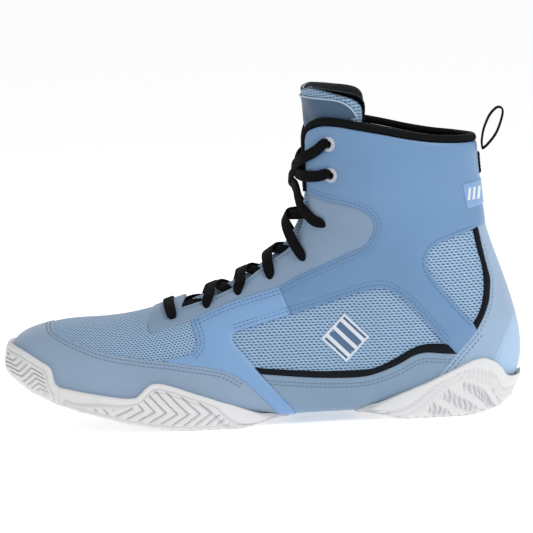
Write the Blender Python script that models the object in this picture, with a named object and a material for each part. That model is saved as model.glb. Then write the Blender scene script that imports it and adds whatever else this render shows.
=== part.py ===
"""A left boxing boot: split rubber sole, laced soft upper, padded collar, tongue and pull loop.

The toe points along -X, the outer (little-toe) side faces -Y, and the soles rest on Z = 0.
Every leather, mesh and lining panel is a closed sheet that follows one boot surface, so the
sheets nest inside each other with a small gap. Lengths below are in millimetres.
"""

import math

import bmesh
import bpy
import numpy as np
from mathutils import Vector

MM = 0.001
GAP = 0.3
SEAM = 0.004  # half the gap between the two halves, as a share of the way round a section

# One row per section, from the toe tip, round the ankle bend, to above the collar:
# the point on the ridge (x, z), the point under the sole or on the back (x, z), six
# half-widths from ridge to base, and how far the section's middle is shifted inwards (y).
SECTIONS = (
    (-142.0, 39.0, -141.8, 35.0, 2.5, 4.0, 4.6, 4.6, 3.6, 2.0, 8.0),
    (-140.2, 47.0, -138.4, 31.4, 8.0, 14.0, 18.0, 19.5, 18.5, 10.0, 8.0),
    (-135.0, 53.0, -132.2, 27.6, 11.0, 20.5, 27.0, 29.5, 28.5, 16.0, 8.0),
    (-124.0, 57.5, -122.0, 22.5, 13.0, 25.5, 33.5, 37.0, 36.0, 22.0, 7.5),
    (-109.0, 60.5, -108.0, 18.0, 15.0, 28.5, 38.0, 42.0, 41.5, 26.0, 6.0),
    (-91.0, 61.5, -88.0, 12.4, 15.0, 28.5, 39.5, 45.0, 44.5, 28.0, 3.0),
    (-72.0, 63.5, -65.0, 7.4, 14.0, 27.0, 39.0, 46.0, 46.0, 29.0, 0.0),
    (-54.0, 68.0, -39.0, 4.8, 13.0, 25.0, 37.0, 45.0, 45.0, 28.0, -3.0),
    (-36.0, 74.5, -11.0, 4.6, 12.5, 23.5, 34.0, 41.5, 41.0, 25.0, -4.0),
    (-18.0, 82.5, 18.0, 5.2, 12.0, 22.5, 31.5, 37.5, 36.5, 22.0, -3.0),
    (-2.0, 90.5, 50.0, 5.2, 12.0, 22.5, 31.0, 35.5, 34.0, 21.0, -1.5),
    (9.5, 99.0, 84.0, 5.0, 12.5, 23.5, 33.0, 36.0, 33.0, 20.0, 0.0),
    (17.0, 108.0, 110.0, 5.3, 13.0, 25.0, 35.0, 36.0, 31.0, 18.0, 0.0),
    (21.5, 117.0, 127.0, 8.0, 13.5, 26.0, 36.5, 35.5, 27.0, 14.0, 0.0),
    (24.0, 127.0, 140.5, 18.0, 14.0, 27.0, 37.5, 34.5, 24.0, 12.0, 0.0),
    (25.3, 138.0, 145.6, 36.0, 14.5, 27.5, 38.0, 34.5, 22.0, 11.0, 0.0),
    (26.0, 148.0, 142.6, 59.0, 15.0, 28.0, 38.0, 33.5, 20.5, 10.0, 0.0),
    (26.5, 157.0, 135.5, 83.0, 15.0, 28.0, 38.0, 32.5, 19.0, 9.5, 0.0),
    (27.0, 165.0, 129.3, 104.0, 15.0, 28.0, 38.0, 32.5, 19.5, 9.5, 0.0),
    (27.0, 173.0, 126.8, 126.0, 15.5, 28.5, 38.5, 33.5, 22.0, 10.5, 0.0),
    (25.5, 183.0, 125.6, 148.0, 16.0, 29.0, 39.5, 35.5, 24.0, 12.0, 0.0),
    (24.5, 195.0, 126.3, 172.0, 16.0, 29.5, 40.0, 36.5, 25.0, 12.5, 0.0),
)
# How far down a section its third to fifth widths lie, in the foot and in the shaft.
FOOT_DEPTHS = (0.12, 0.40, 0.75, 1.0)
SHAFT_DEPTHS = (0.10, 0.34, 0.66, 0.92)
ANKLE_START, ANKLE_END = 12, 17  # sections between which the one turns into the other

# The lines of the mesh round half a section, 0 on the ridge and 1 at the base.
ROUND = (0.0, 0.10, 0.20, 0.31, 0.43, 0.55, 0.66, 0.76, 0.87, 1.0)
SOLE_CORNER = 0.76

# Sheets of the upper, as distances from the boot surface, inner face first.
LINING = (-4.2, -3.4)
PADDING = (-3.1, -0.8)
STIFFENER = (-3.1, -2.1)
MESH = (-1.8, -0.8)
LEATHER = (-0.5, 0.5)
PIPING = (-0.5, 1.1)
APPLIQUE = (0.8, 1.5)
RUBBER = (0.8, 3.2)
FOOTBED_CLEARANCE = -4.5

# The underside of the soles in side view (x, z): toe spring, ball, arch, heel.
GROUND = (
    (-146, 35), (-140, 30.5), (-130, 23), (-117, 17), (-103, 12), (-90, 8.6), (-77, 5),
    (-63, 2.4), (-50, 0.6), (-43, 0), (-2, 0), (8, 1.6), (18, 3.5), (46, 3.5), (60, 0.8),
    (68, 0), (114, 0), (126, 2.6), (133, 4.5), (140, 10), (145, 19), (148, 30),
)

# Outlines and edges in side view (x, z).
TOE_GUARD_TOP = (
    (-117, 64), (-116.5, 58.5), (-115, 56), (-109, 52.7), (-101, 49.2), (-91, 45.3),
    (-81, 42.8), (-66, 40.3), (-51, 38.3), (-37, 35.8), (-25, 33.5), (-17, 30.4),
    (-10, 25.7), (-3, 18.7), (4, 11.5), (10, 2), (12, -6),
)
SADDLE_REAR = (
    (-16, 50.6), (-14.5, 46), (-9.5, 40.2), (-4.5, 33.4), (3.5, 23.8), (10.5, 15.6),
    (17.5, 6.8), (21, -6),
)
SADDLE_FRONT = (
    (-55, 39.2), (-46.5, 40.2), (-40, 42), (-37, 45), (-35.6, 47.5), (-35.9, 51.4),
    (-37.2, 55.7), (-39, 62),
)
WINDOW_TOP = (
    (-14.3, 53.2), (-2, 56.4), (17.3, 61.4), (27.2, 63.9), (41.7, 68.2), (59.7, 73.4),
    (68.4, 74.5), (73.4, 73.2), (81, 68), (89, 60), (95.6, 51.6), (102, 42.6), (105, 40.8),
)
PIPING_TOP = (
    (105, 40.8), (98.4, 41.8), (91, 41.6), (83.4, 39.1), (75, 34.6), (66.5, 30.8),
    (58, 29), (36, 29.2), (18.6, 30.6), (4, 32.2), (-3.7, 33.3),
)
PIPING_LOW = (
    (-0.5, 29.4), (18.4, 27), (32.5, 25.6), (47, 24.9), (57.8, 25.2), (66.4, 27.2),
    (76.5, 31), (85, 35.4), (92.4, 37), (101.5, 36), (109.6, 35.2),
)
HEEL_WINDOW = (
    (119.5, 51.9), (117.2, 54.5), (109.3, 64), (101.5, 73.8), (97, 80.5), (94.6, 85.7),
    (94.8, 90.7), (97.5, 95), (102.6, 98.2), (110.7, 100.7), (121, 103.6),
)
HEEL_PIPING_IN = (
    (122, 103.9), (123.8, 93), (126, 84.6), (126.8, 76.4), (126.5, 69), (124.8, 61.2),
    (122.2, 55.6), (119.5, 51.9),
)
HEEL_PIPING_OUT = (
    (121.5, 47.9), (125.5, 54.8), (128.7, 62.4), (129.8, 68.7), (130.2, 76),
    (128.4, 84.3), (126.3, 95), (124.6, 104.8),
)
COLLAR_TOP = (
    (134, 152), (124, 152.6), (116, 153), (102, 154.4), (87.6, 157), (73.3, 160.4),
    (59, 163.5), (48.4, 165.6), (39.8, 166), (33.3, 163.9), (30.6, 160), (30, 152.8),
)
THROAT = (
    (30, 127.5), (28.8, 120), (26.9, 112), (23, 103.5), (17.5, 97), (11.3, 92.8),
    (2.4, 87), (-9, 79.5), (-21.5, 73.8), (-33, 70), (-44, 66.8), (-46.5, 68.8),
)
EYESTAY_LOW = (
    (-62.5, 56.6), (-60, 54.2), (-45.8, 58.2), (-38, 60.3), (-18.3, 68.3), (11.4, 76.4),
    (25.5, 83.5), (43, 90.8), (52.4, 94.9), (61, 99), (65, 105), (66.4, 110),
    (64.2, 115), (58.6, 119.5), (50, 122), (39.4, 124.4), (31.7, 127.6),
)

EYESTAY = EYESTAY_LOW + THROAT + ((-46.5, 90), (-62.5, 90))
CUFF = (
    ((11.4, 76.4),) + WINDOW_TOP[2:] + ((109.6, 35.2), (121.5, 47.9)) + HEEL_WINDOW
    + ((128, 106.2), (140, 108), (140, 152)) + COLLAR_TOP + THROAT[:7] + ((0, 84), (0, 76))
)
SADDLE = (
    SADDLE_FRONT + ((-18, 72), (11.4, 80), (11.4, 76.4), (17.3, 61.4))
    + WINDOW_TOP[1::-1] + SADDLE_REAR + TOE_GUARD_TOP[:7:-1]
)
TOE_GUARD = TOE_GUARD_TOP + ((-160, -6), (-160, 64))
LOWER_QUARTER = (
    PIPING_LOW + ((98, 22.6), (88, 5), (84, -6)) + SADDLE_REAR[:3:-1]
)
HEEL_COVER = (
    HEEL_PIPING_OUT + ((128, 106.2), (155, 106.2), (155, -6), (84, -6), (88, 5), (98, 22.6),
    (109.6, 35.2))
)
HEEL_CAP = ((143, 57), (155, 60), (155, -6), (122, -6), (126, 18), (131, 31.7))
SIDE_PIPING = PIPING_TOP + PIPING_LOW
HEEL_PIPING = HEEL_PIPING_IN + HEEL_PIPING_OUT
HEEL_PATCH = ((116, 129.7), (126.3, 131.2), (140, 131.6), (140, 117.6), (127.7, 117.2), (118.2, 115.6))
VAMP_MESH = (
    (-121, 70), (-120, 56), (-113, 50), (-92, 41), (-67, 36.5), (-42, 33.5), (-31, 42),
    (-31, 53), (-54, 58), (-54, 75),
)
QUARTER_MESH = (
    (-20, 51), (-17, 57), (-2, 61), (27, 68.5), (59, 78), (69, 79), (77, 76), (92, 64),
    (106, 44.5), (108, 38), (100, 33), (88, 33), (76, 27), (66, 23.5), (47, 21), (18, 23),
    (0, 26), (-8, 32),
)
HEEL_MESH = (
    (90, 92), (96, 99), (104, 102.5), (121, 107), (126, 104), (130, 84), (130, 70),
    (126, 56), (121, 47), (113, 54), (104, 66), (95, 77), (90, 86),
)
TOE_PUFF = (
    (-108, 80), (-108, 24.8), (-122, 29.2), (-132, 34.2), (-138.2, 38.2), (-138.2, 80),
)
HEEL_COUNTER = (
    (160, 78), (104, 70), (92, 45), (84, 22), (84, 11.8), (110, 11.9), (127, 14.6),
    (141, 25), (160, 42),
)
LASTING_BOARD_RISE = 6.0
COLLAR_PAD = (
    (52, 124), (66, 117), (90, 113), (140, 114), (140, 150.5), (116, 151), (87, 154.8),
    (59, 161), (52, 161.5),
)
VAMP_LINING = ((-50.2, 90), (-50.2, -6), (-160, -6), (-160, 90))
QUARTER_LINING = (
    ((-49.8, 68),) + ((-49.8, -6), (160, -6), (160, 99.8), (70, 96), (26, 93), (15, 93))
    + ((11, 89.5), (2, 83.6), (-9, 76), (-21.5, 70.2), (-33, 66.5), (-44, 63.6))
)
COLLAR_LINING = (
    ((160, 100.2), (70, 96.4), (26, 93.4), (19, 93.4), (27, 101), (31, 110), (33, 120))
    + ((34, 128), (34, 160), (36, 163.5)) + COLLAR_TOP[-4::-1]
)
TONGUE = (
    (-58, 76), (-58, 56), (-44, 56.5), (-33, 60), (-12, 68), (6, 77), (20, 85), (32, 96),
    (41, 112), (48, 130), (56, 150), (62, 165), (64, 174), (63.5, 179), (60, 183),
    (54, 185), (46, 186), (38, 187.2), (31, 188), (10, 188.5), (10, 110), (-10, 92),
)
TONGUE_FOLD_Z = 171.0
TONGUE_FACING = (
    (58.5, 173), (56.3, 175.2), (53, 178), (47.6, 180.5), (38, 181.6), (10, 182), (10, 173),
)
TOE_BUMPER = (
    (-155, 52), (-142, 49.3), (-138, 48), (-131.8, 45.2), (-124, 40.6), (-119, 37.7),
    (-117.2, 34.3), (-116, 28.8), (-113.3, 26.4), (-113.3, -6), (-155, -6),
)
FOREFOOT_SOLE = (
    (-113, 26.2), (-102.6, 23.7), (-88, 21.4), (-77.7, 19.8), (-70.6, 20.1), (-67.5, 22.4),
    (-63.3, 26.2), (-59.3, 27.7), (-52.3, 26.7), (-37.4, 21.2), (-22.6, 15.5), (-7.7, 9),
    (4, 5), (14, 3.2), (14, -6), (-113, -6),
)
HEEL_SOLE = (
    (50, -6), (52, 3.6), (65.6, 9.5), (82.4, 15.9), (99.3, 23), (112.6, 28.4),
    (119.5, 31), (126, 31.6), (131, 29.7), (135, 25.5), (138.5, 20.8), (143, 20.7),
    (155, 22), (155, -6),
)
# A generic mark: a diamond ring crossed by three slanted bars.
BADGE_CENTRE = (47.5, 47.3)
BADGE_SIZE = 13.5
BADGE_BAND = 1.6

LACE_HOLES = (
    (-48.7, 61.8), (-29.5, 67.7), (-11.6, 74.2), (6.8, 82.2), (25.8, 91.9), (37.9, 110.5),
    (43.6, 138.7), (43.0, 156.2),
)
RING_ROWS = (6, 7)  # the two top rows, which have rings
LACE_R, LACE_HOLE_R, RING_R = 1.1, 1.6, 4.2
LACE_INSIDE = -6.4  # where the lace runs under the eyestay
AGLET_R, AGLET_ROUTE = 0.9, ((0.0525, 0.303), (0.075, 0.317), (0.095, 0.33))
COLLAR_EDGE = (
    (28.3, 129), (28.3, 140), (28.3, 151), (28.8, 160), (32, 166), (38.5, 168.5),
    (48.4, 167.9), (59, 165.8), (73.3, 162.7), (87.6, 159.3), (102, 156.7), (116, 155.3),
)
BINDING_R, BINDING_DEPTH, BINDING_BACK_Z = 1.9, -1.85, 155.4
PULL_LOOP = (
    (129.4, 147.4), (132.6, 149.8), (137.4, 155.5), (140.4, 162), (142, 168), (140.9, 170.4),
    (138.2, 170.2), (134.2, 166), (130.8, 158.5), (129.5, 152),
)
LOOP_TAPE, LOOP_WIDTH = 0.9, 9.0
LOOP_ANCHOR_Z = (134, 146)

BLUE_SATIN = (0.26, 0.44, 0.70)
BLUE_MATTE = (0.33, 0.46, 0.63)
BLUE_MESH = (0.36, 0.52, 0.70)
BLUE_DEEP = (0.20, 0.36, 0.60)
BLACK = (0.012, 0.012, 0.015)
WHITE = (0.83, 0.84, 0.86)
FOAM = (0.60, 0.61, 0.62)
BOARD = (0.62, 0.55, 0.42)


def natural_spline(knots, values):
    """A function that runs a smooth curve through the rows of values at the knots."""
    count = len(knots)
    step = np.diff(knots)
    matrix = np.eye(count)
    right = np.zeros_like(values)
    for i in range(1, count - 1):
        matrix[i, i - 1:i + 2] = step[i - 1], 2 * (step[i - 1] + step[i]), step[i]
        right[i] = 6 * ((values[i + 1] - values[i]) / step[i] - (values[i] - values[i - 1]) / step[i - 1])
    bend = np.linalg.solve(matrix, right)

    def curve(at):
        i = int(np.clip(np.searchsorted(knots, at) - 1, 0, count - 2))
        a, b = (knots[i + 1] - at) / step[i], (at - knots[i]) / step[i]
        return a * values[i] + b * values[i + 1] + (
            (a**3 - a) * bend[i] + (b**3 - b) * bend[i + 1]
        ) * step[i] ** 2 / 6

    return curve


def section_rows():
    """The sections with their depths added."""
    rows = []
    for i, row in enumerate(SECTIONS):
        share = min(max((i - ANKLE_START) / (ANKLE_END - ANKLE_START), 0), 1)
        depths = [f + share * (s - f) for f, s in zip(FOOT_DEPTHS, SHAFT_DEPTHS)]
        rows.append(row + tuple(depths))
    return np.array(rows)


ROWS = section_rows()
STEPS = np.linalg.norm(np.diff(ROWS[:, :4], axis=0), axis=1)
KNOTS = np.concatenate([[0], np.cumsum(STEPS)]) / STEPS.sum()
SECTION_AT = natural_spline(KNOTS, ROWS)
LAST = len(SECTIONS) - 1


def weights(t):
    """Cubic B-spline weights of the eight points that shape half a section."""
    knots = (0, 0, 0, 0, 1, 2, 3, 4, 5, 5, 5, 5)
    u = min(t, 1 - 1e-9) * 5
    n = [1.0 if knots[j] <= u < knots[j + 1] else 0.0 for j in range(11)]
    for degree in range(1, 4):
        for j in range(11 - degree):
            left, right = knots[j + degree] - knots[j], knots[j + degree + 1] - knots[j + 1]
            n[j] = ((u - knots[j]) / left * n[j] if left else 0) + (
                (knots[j + degree + 1] - u) / right * n[j + 1] if right else 0)
    return np.array(n[:8])


def surface(s, t):
    """The boot surface at s along it and t round it: 0 on the ridge, -1 and 1 at the base."""
    row = SECTION_AT(s)
    depths = np.array((0, 0, *row[11:15], 1, 1))
    widths = np.array((0, *row[4:10], 0))
    share = weights(abs(t))
    down, out = share @ depths, share @ widths
    x, z = row[0:2] + (row[2:4] - row[0:2]) * down
    return np.array((x, row[10] + math.copysign(out, t), z))


def offset_point(s, t, distance):
    """The surface point moved outwards by distance."""
    e = 1e-4

    def round_to(t1):
        return t1 - 2 * math.copysign(1, t1) if abs(t1) > 1 else t1

    along = surface(min(s + e, 1), t) - surface(max(s - e, 0), t)
    across = surface(s, round_to(t + e)) - surface(s, round_to(t - e))
    normal = np.cross(along, across)
    return surface(s, t) + normal / np.linalg.norm(normal) * distance


def on_side(x, z):
    """The (s, t) of the surface point that side view shows at (x, z), on the outer side."""
    low, high = 0.0, 1.0
    for _ in range(40):
        s = (low + high) / 2
        row = SECTION_AT(s)
        ahead = (row[2] - row[0]) * (z - row[1]) - (row[3] - row[1]) * (x - row[0])
        low, high = (s, high) if ahead > 0 else (low, s)
    line = row[2:4] - row[0:2]
    down = np.dot(np.array((x, z)) - row[0:2], line) / np.dot(line, line)
    depths = np.array((0, 0, *row[11:15], 1, 1))
    near, far = 0.0, 1.0
    for _ in range(40):
        t = (near + far) / 2
        near, far = (t, far) if weights(t) @ depths < down else (near, t)
    return s, -t


def material(name, colour, roughness):
    made = bpy.data.materials.new(name)
    made.use_nodes = True
    shader = made.node_tree.nodes["Principled BSDF"]
    shader.inputs["Base Color"].default_value = (*colour, 1)
    shader.inputs["Roughness"].default_value = roughness
    return made


def add_object(name, points, faces, colour=None, roughness=0.6):
    """A mesh object from points in millimetres: a part if it has a colour, else a cutter."""
    mesh = bpy.data.meshes.new(name)
    mesh.from_pydata([Vector(p) * MM for p in points], [], faces)
    bm = bmesh.new()
    bm.from_mesh(mesh)
    bmesh.ops.recalc_face_normals(bm, faces=bm.faces)
    bm.to_mesh(mesh)
    bm.free()
    made = bpy.data.objects.new(name, mesh)
    if colour:
        mesh.materials.append(material(name, colour, roughness))
        PARTS.objects.link(made)
    else:
        made.hide_render = True
        made.display_type = "WIRE"
        CUTTERS.objects.link(made)
    return made


def split_quads(rows, columns, closed):
    """Triangles over a grid of points, always cut along the same diagonal."""
    faces = []
    for i in range(rows - 1):
        for j in range(columns if closed else columns - 1):
            a, b = i * columns + j, i * columns + (j + 1) % columns
            faces += [(a, b, b + columns), (a, b + columns, a + columns)]
    return faces


def round_lines(side):
    """The mesh lines round a section: the whole ring, or the half on side -1 or 1."""
    if side:
        half = (SEAM,) + ROUND[1:-1] + (1 - SEAM,)
        return sorted(side * t for t in half)
    return [-t for t in ROUND[:0:-1]] + list(ROUND[:-1])


def sheet(name, faces_at, colour=None, roughness=0.6, side=0, first=0, last=LAST):
    """A closed sheet between two distances from the surface, which may be functions of (i, t)."""
    lines = round_lines(side)
    columns, rows = len(lines), last - first + 1
    points = []
    for face in faces_at:
        distance = face if callable(face) else (lambda i, t, fixed=face: fixed)
        points += [offset_point(KNOTS[i], t, distance(i, t)) for i in range(first, last + 1) for t in lines]
    skin = split_quads(rows, columns, closed=not side)
    under = rows * columns
    faces = [tuple(reversed(f)) for f in skin] + [tuple(k + under for k in f) for f in skin]
    end = (rows - 1) * columns
    for j in range(columns if not side else columns - 1):
        k = (j + 1) % columns
        faces.append((end + j, end + k, under + end + k, under + end + j))
        if side or first:
            faces.append((j, k, under + k, under + j))
    if side:
        for i in range(rows - 1):
            for j in (0, columns - 1):
                a, b = i * columns + j, (i + 1) * columns + j
                faces.append((a, b, under + b, under + a))
    elif not first:
        faces += [tuple(range(columns)), tuple(range(under, under + columns))]
    return add_object(name, points, faces, colour, roughness)


def whole_body(name, distance):
    """The closed solid inside the surface, moved outwards by distance, as a cutter."""
    lines = round_lines(0)
    points = [offset_point(KNOTS[i], t, distance) for i in range(LAST + 1) for t in lines]
    end = LAST * len(lines)
    caps = [tuple(range(len(lines))), tuple(range(end, end + len(lines)))]
    return add_object(name, points, split_quads(LAST + 1, len(lines), True) + caps)


def grown(outline, distance):
    """The outline with each edge moved outwards by distance."""
    points = np.array(outline, float)
    ahead = np.roll(points, -1, axis=0) - points
    area = np.sum(points[:, 0] * np.roll(points[:, 1], -1) - np.roll(points[:, 0], -1) * points[:, 1])
    ahead /= np.linalg.norm(ahead, axis=1)[:, None]
    out = np.stack([ahead[:, 1], -ahead[:, 0]], 1) * math.copysign(1, area)
    behind = np.roll(out, 1, axis=0)
    mitre = (out + behind) / (1 + np.sum(out * behind, axis=1))[:, None]
    return points + mitre * distance


def prism(name, outline, grow=0.0, half=70.0, colour=None, roughness=0.6):
    """The side-view outline carried right across the boot."""
    points = grown(outline, grow)
    count = len(points)
    ends = [(x, y, z) for y in (-half, half) for x, z in points]
    faces = [tuple(range(count)), tuple(range(count, 2 * count))]
    faces += [(i, (i + 1) % count, count + (i + 1) % count, count + i) for i in range(count)]
    return add_object(name, ends, faces, colour, roughness)


def cut(part, cutter, operation="DIFFERENCE"):
    modifier = part.modifiers.new(operation.title(), "BOOLEAN")
    modifier.operation = operation
    modifier.solver = "EXACT"
    modifier.object = cutter


def keep(part, outline):
    cut(part, prism(f"{part.name}_outline", outline), "INTERSECT")


def clear_of(part, *outlines):
    for outline in outlines:
        cut(part, prism(f"{part.name}_clearance", outline, GAP))


def drill(part, rows, radius):
    """Cut the lace holes of these rows through the part, on both sides or its own."""
    for row in rows:
        for side in (-1, 1):
            cut(part, hole_pin(row, side, radius))


def hole_pin(row, side, radius, sides=8):
    """A pin through a lace hole, square to the surface."""
    s, t = on_side(*LACE_HOLES[row])
    inner, outer = (Vector(offset_point(s, -side * t, d)) for d in (-7.0, 6.0))
    axis = (outer - inner).normalized()
    one = axis.cross(Vector((0, 0, 1))).normalized()
    two = axis.cross(one)
    turns = [math.tau * (k + 0.5) / sides for k in range(sides)]
    rim = [(one * math.cos(a) + two * math.sin(a)) * radius for a in turns]
    points = [end + r for end in (inner, outer) for r in rim]
    faces = [tuple(range(sides)), tuple(range(sides, 2 * sides))]
    faces += [(i, (i + 1) % sides, sides + (i + 1) % sides, sides + i) for i in range(sides)]
    return add_object(f"hole_pin_{row + 1}", points, faces)


def tube(name, path, radius, colour, roughness, sides=6):
    """A round solid along a path, with flat ends."""
    path = [Vector(p) for p in path]
    ahead = [(path[min(i + 1, len(path) - 1)] - path[max(i - 1, 0)]).normalized() for i in range(len(path))]
    up = ahead[0].orthogonal().normalized()
    points = []
    for place, along in zip(path, ahead):
        up = (up - along * up.dot(along)).normalized()
        other = along.cross(up)
        points += [
            place + (up * math.cos(math.tau * k / sides) + other * math.sin(math.tau * k / sides)) * radius
            for k in range(sides)
        ]
    end = (len(path) - 1) * sides
    caps = [tuple(range(sides)), tuple(range(end, end + sides))]
    return add_object(name, points, split_quads(len(path), sides, True) + caps, colour, roughness)


def smooth(path, per_span):
    """A Catmull-Rom curve through the points of a path."""
    path = [np.array(p, float) for p in path]
    padded = [2 * path[0] - path[1], *path, 2 * path[-1] - path[-2]]
    made = []
    for a, b, c, d in zip(padded, padded[1:], padded[2:], padded[3:]):
        for k in range(per_span):
            u = k / per_span
            made.append(0.5 * (2 * b + (c - a) * u + (2 * a - 5 * b + 4 * c - d) * u**2
                               + (3 * b - a - 3 * c + d) * u**3))
    return made + [path[-1]]


def ground_z(x):
    return float(np.interp(x, *zip(*GROUND)))


def sole_blank(name, colour, roughness):
    """The outer form of all the rubber: it hugs the sides and is flat on the ground below."""
    lines = round_lines(0)
    points = []
    for i in range(LAST + 1):
        for t in lines:
            x, y, z = offset_point(KNOTS[i], t, RUBBER[1])
            if abs(t) >= SOLE_CORNER and i <= ANKLE_START + 2:
                z = ground_z(x)
            points.append((x, y, z))
    end = LAST * len(lines)
    caps = [tuple(range(len(lines))), tuple(range(end, end + len(lines)))]
    return add_object(name, points, split_quads(LAST + 1, len(lines), True) + caps, colour, roughness)


def build_soles():
    inside = whole_body("inside_of_rubber", RUBBER[0])
    for name, outline in (
        ("toe_bumper", TOE_BUMPER), ("forefoot_outsole", FOREFOOT_SOLE), ("heel_outsole", HEEL_SOLE),
    ):
        sole = sole_blank(name, WHITE, 0.55)
        keep(sole, outline)
        cut(sole, inside)


def footbed_band(low, high):
    """A side-view band between two heights above the base of the sections, (toe, heel) each."""
    base = [(row[2], row[3]) for row in SECTIONS[3:14]] + [(150, 10)]
    share = [(x - base[0][0]) / (base[-1][0] - base[0][0]) for x, _ in base]
    lower = [(x, z + low[0] + (low[1] - low[0]) * k) for (x, z), k in zip(base, share)]
    upper = [(x, z + high[0] + (high[1] - high[0]) * k) for (x, z), k in zip(base, share)]
    return lower + upper[::-1]


def build_footbed():
    room = FOOTBED_CLEARANCE
    for name, low, high, colour in (
        ("insole_board", (-6, -6), (5.8, 5.8), BOARD),
        ("drop_in_midsole", (6.1, 6.1), (9.0, 13.0), FOAM),
        ("sockliner", (9.3, 13.3), (12.3, 16.8), BLACK),
    ):
        part = whole_body(name + "_room", room)
        bed = prism(name, footbed_band(low, high), colour=colour, roughness=0.8)
        cut(bed, part, "INTERSECT")
    board = sheet("lasting_board", PADDING, BOARD, 0.8)
    base = [(row[2], row[3] + LASTING_BOARD_RISE) for row in SECTIONS[2:15]]
    keep(board, [(-160, 36)] + base + [(150, 24), (150, -6), (-160, -6)])


def build_linings():
    vamp = sheet("vamp_lining", LINING, BLACK, 0.9)
    keep(vamp, VAMP_LINING)
    quarter = sheet("quarter_lining", LINING, BLACK, 0.9)
    keep(quarter, QUARTER_LINING)
    drill(quarter, range(5), LACE_HOLE_R)
    collar = sheet("collar_lining", LINING, BLACK, 0.9)
    keep(collar, COLLAR_LINING)
    drill(collar, range(5, 8), LACE_HOLE_R)
    pad = sheet("collar_padding", PADDING, FOAM, 0.9)
    keep(pad, COLLAR_PAD)
    puff = sheet("toe_puff", STIFFENER, FOAM, 0.7)
    keep(puff, TOE_PUFF)
    counter = sheet("heel_counter", STIFFENER, FOAM, 0.7)
    keep(counter, HEEL_COUNTER)


def build_leather():
    guard = sheet("toe_guard", LEATHER, BLUE_MATTE, 0.75)
    keep(guard, TOE_GUARD)
    eyestay = sheet("eyestay", LEATHER, BLUE_MATTE, 0.75)
    keep(eyestay, EYESTAY)
    drill(eyestay, range(6), LACE_HOLE_R)
    cover = sheet("heel_cover", LEATHER, BLUE_MATTE, 0.75)
    keep(cover, HEEL_COVER)
    clear_of(cover, HEEL_CAP)
    cap = sheet("heel_cap", LEATHER, BLUE_DEEP, 0.6)
    keep(cap, HEEL_CAP)
    vamp = sheet("vamp_mesh", MESH, BLUE_MESH, 0.85)
    keep(vamp, VAMP_MESH)
    patch = sheet("heel_patch", APPLIQUE, WHITE, 0.6, first=ANKLE_START)
    keep(patch, HEEL_PATCH)
    for side, word in ((-1, "lateral"), (1, "medial")):
        cuff = sheet(f"ankle_cuff_{word}", LEATHER, BLUE_SATIN, 0.45, side)
        keep(cuff, CUFF)
        clear_of(cuff, EYESTAY, SADDLE)
        for row in RING_ROWS:
            cut(cuff, hole_pin(row, side, LACE_HOLE_R))
        saddle = sheet(f"saddle_strap_{word}", LEATHER, BLUE_SATIN, 0.45, side)
        keep(saddle, SADDLE)
        clear_of(saddle, EYESTAY, TOE_GUARD)
        quarter = sheet(f"lower_quarter_{word}", LEATHER, BLUE_MATTE, 0.75, side)
        keep(quarter, LOWER_QUARTER)
        clear_of(quarter, SADDLE, HEEL_COVER)
        mesh = sheet(f"quarter_mesh_{word}", MESH, BLUE_MESH, 0.85, side)
        keep(mesh, QUARTER_MESH)
        heel = sheet(f"heel_mesh_{word}", MESH, BLUE_MESH, 0.85, side)
        keep(heel, HEEL_MESH)
        piping = sheet(f"side_piping_{word}", PIPING, BLACK, 0.5, side)
        keep(piping, SIDE_PIPING)
        clear_of(piping, LOWER_QUARTER, CUFF, SADDLE, HEEL_COVER)
        heel_piping = sheet(f"heel_piping_{word}", PIPING, BLACK, 0.5, side)
        keep(heel_piping, HEEL_PIPING)
        clear_of(heel_piping, HEEL_COVER, CUFF)


def bar(centre, length, width, slope):
    """The four corners of a slanted bar in side view."""
    along = Vector((math.cos(slope), math.sin(slope))) * length / 2
    across = Vector((-math.sin(slope), math.cos(slope))) * width / 2
    middle = Vector(centre)
    return [tuple(middle + along * a + across * b) for a, b in ((-1, -1), (1, -1), (1, 1), (-1, 1))]


def build_badge():
    x, z = BADGE_CENTRE
    ring = [(x, z - BADGE_SIZE), (x + BADGE_SIZE, z), (x, z + BADGE_SIZE), (x - BADGE_SIZE, z)]
    badge = sheet("side_badge", (-0.5, 0.3), WHITE, 0.5, side=-1, first=5, last=18)
    keep(badge, ring)
    inner = prism("badge_inside", ring, -BADGE_BAND)
    for step in (-1, 0, 1):
        middle = (x + 4.2 * step, z + 4.2 * step)
        cut(inner, prism(f"badge_bar_{step + 2}", bar(middle, 60, 2.2, math.radians(-45))))
    cut(badge, inner)


def tongue_face(depth):
    """The distance of the tongue's face from the surface, for (section, line round it)."""
    def distance(i, t):
        if i >= 19:
            return {19: -6.2, 20: -4.4, 21: -2.2}[i] + depth
        crown = -4.2 if t == 0 else -7.8
        return (crown if i >= 8 else -7.8) + depth
    return distance


def fold_plane(part, keep_above, rise=0.15):
    low = TONGUE_FOLD_Z + rise if keep_above else -10
    high = 220 if keep_above else TONGUE_FOLD_Z - rise
    cut(part, prism(f"{part.name}_fold", ((-80, low), (160, low), (160, high), (-80, high))), "INTERSECT")


def build_tongue():
    body = sheet("tongue_body", (tongue_face(-3.0), tongue_face(0)), BLUE_MATTE, 0.8)
    keep(body, TONGUE)
    fold_plane(body, False)
    top = sheet("tongue_top", (tongue_face(-2.0), tongue_face(0)), BLUE_MESH, 0.85, first=17)
    keep(top, TONGUE)
    fold_plane(top, True)
    lining = sheet("tongue_lining", (tongue_face(-3.2), tongue_face(-2.3)), BLACK, 0.9, first=17)
    keep(lining, grown(TONGUE, -0.5))
    fold_plane(lining, True)
    facing = sheet("tongue_facing", (tongue_face(0.3), tongue_face(1.1)), BLUE_MATTE, 0.7, first=17)
    keep(facing, TONGUE_FACING)


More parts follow.
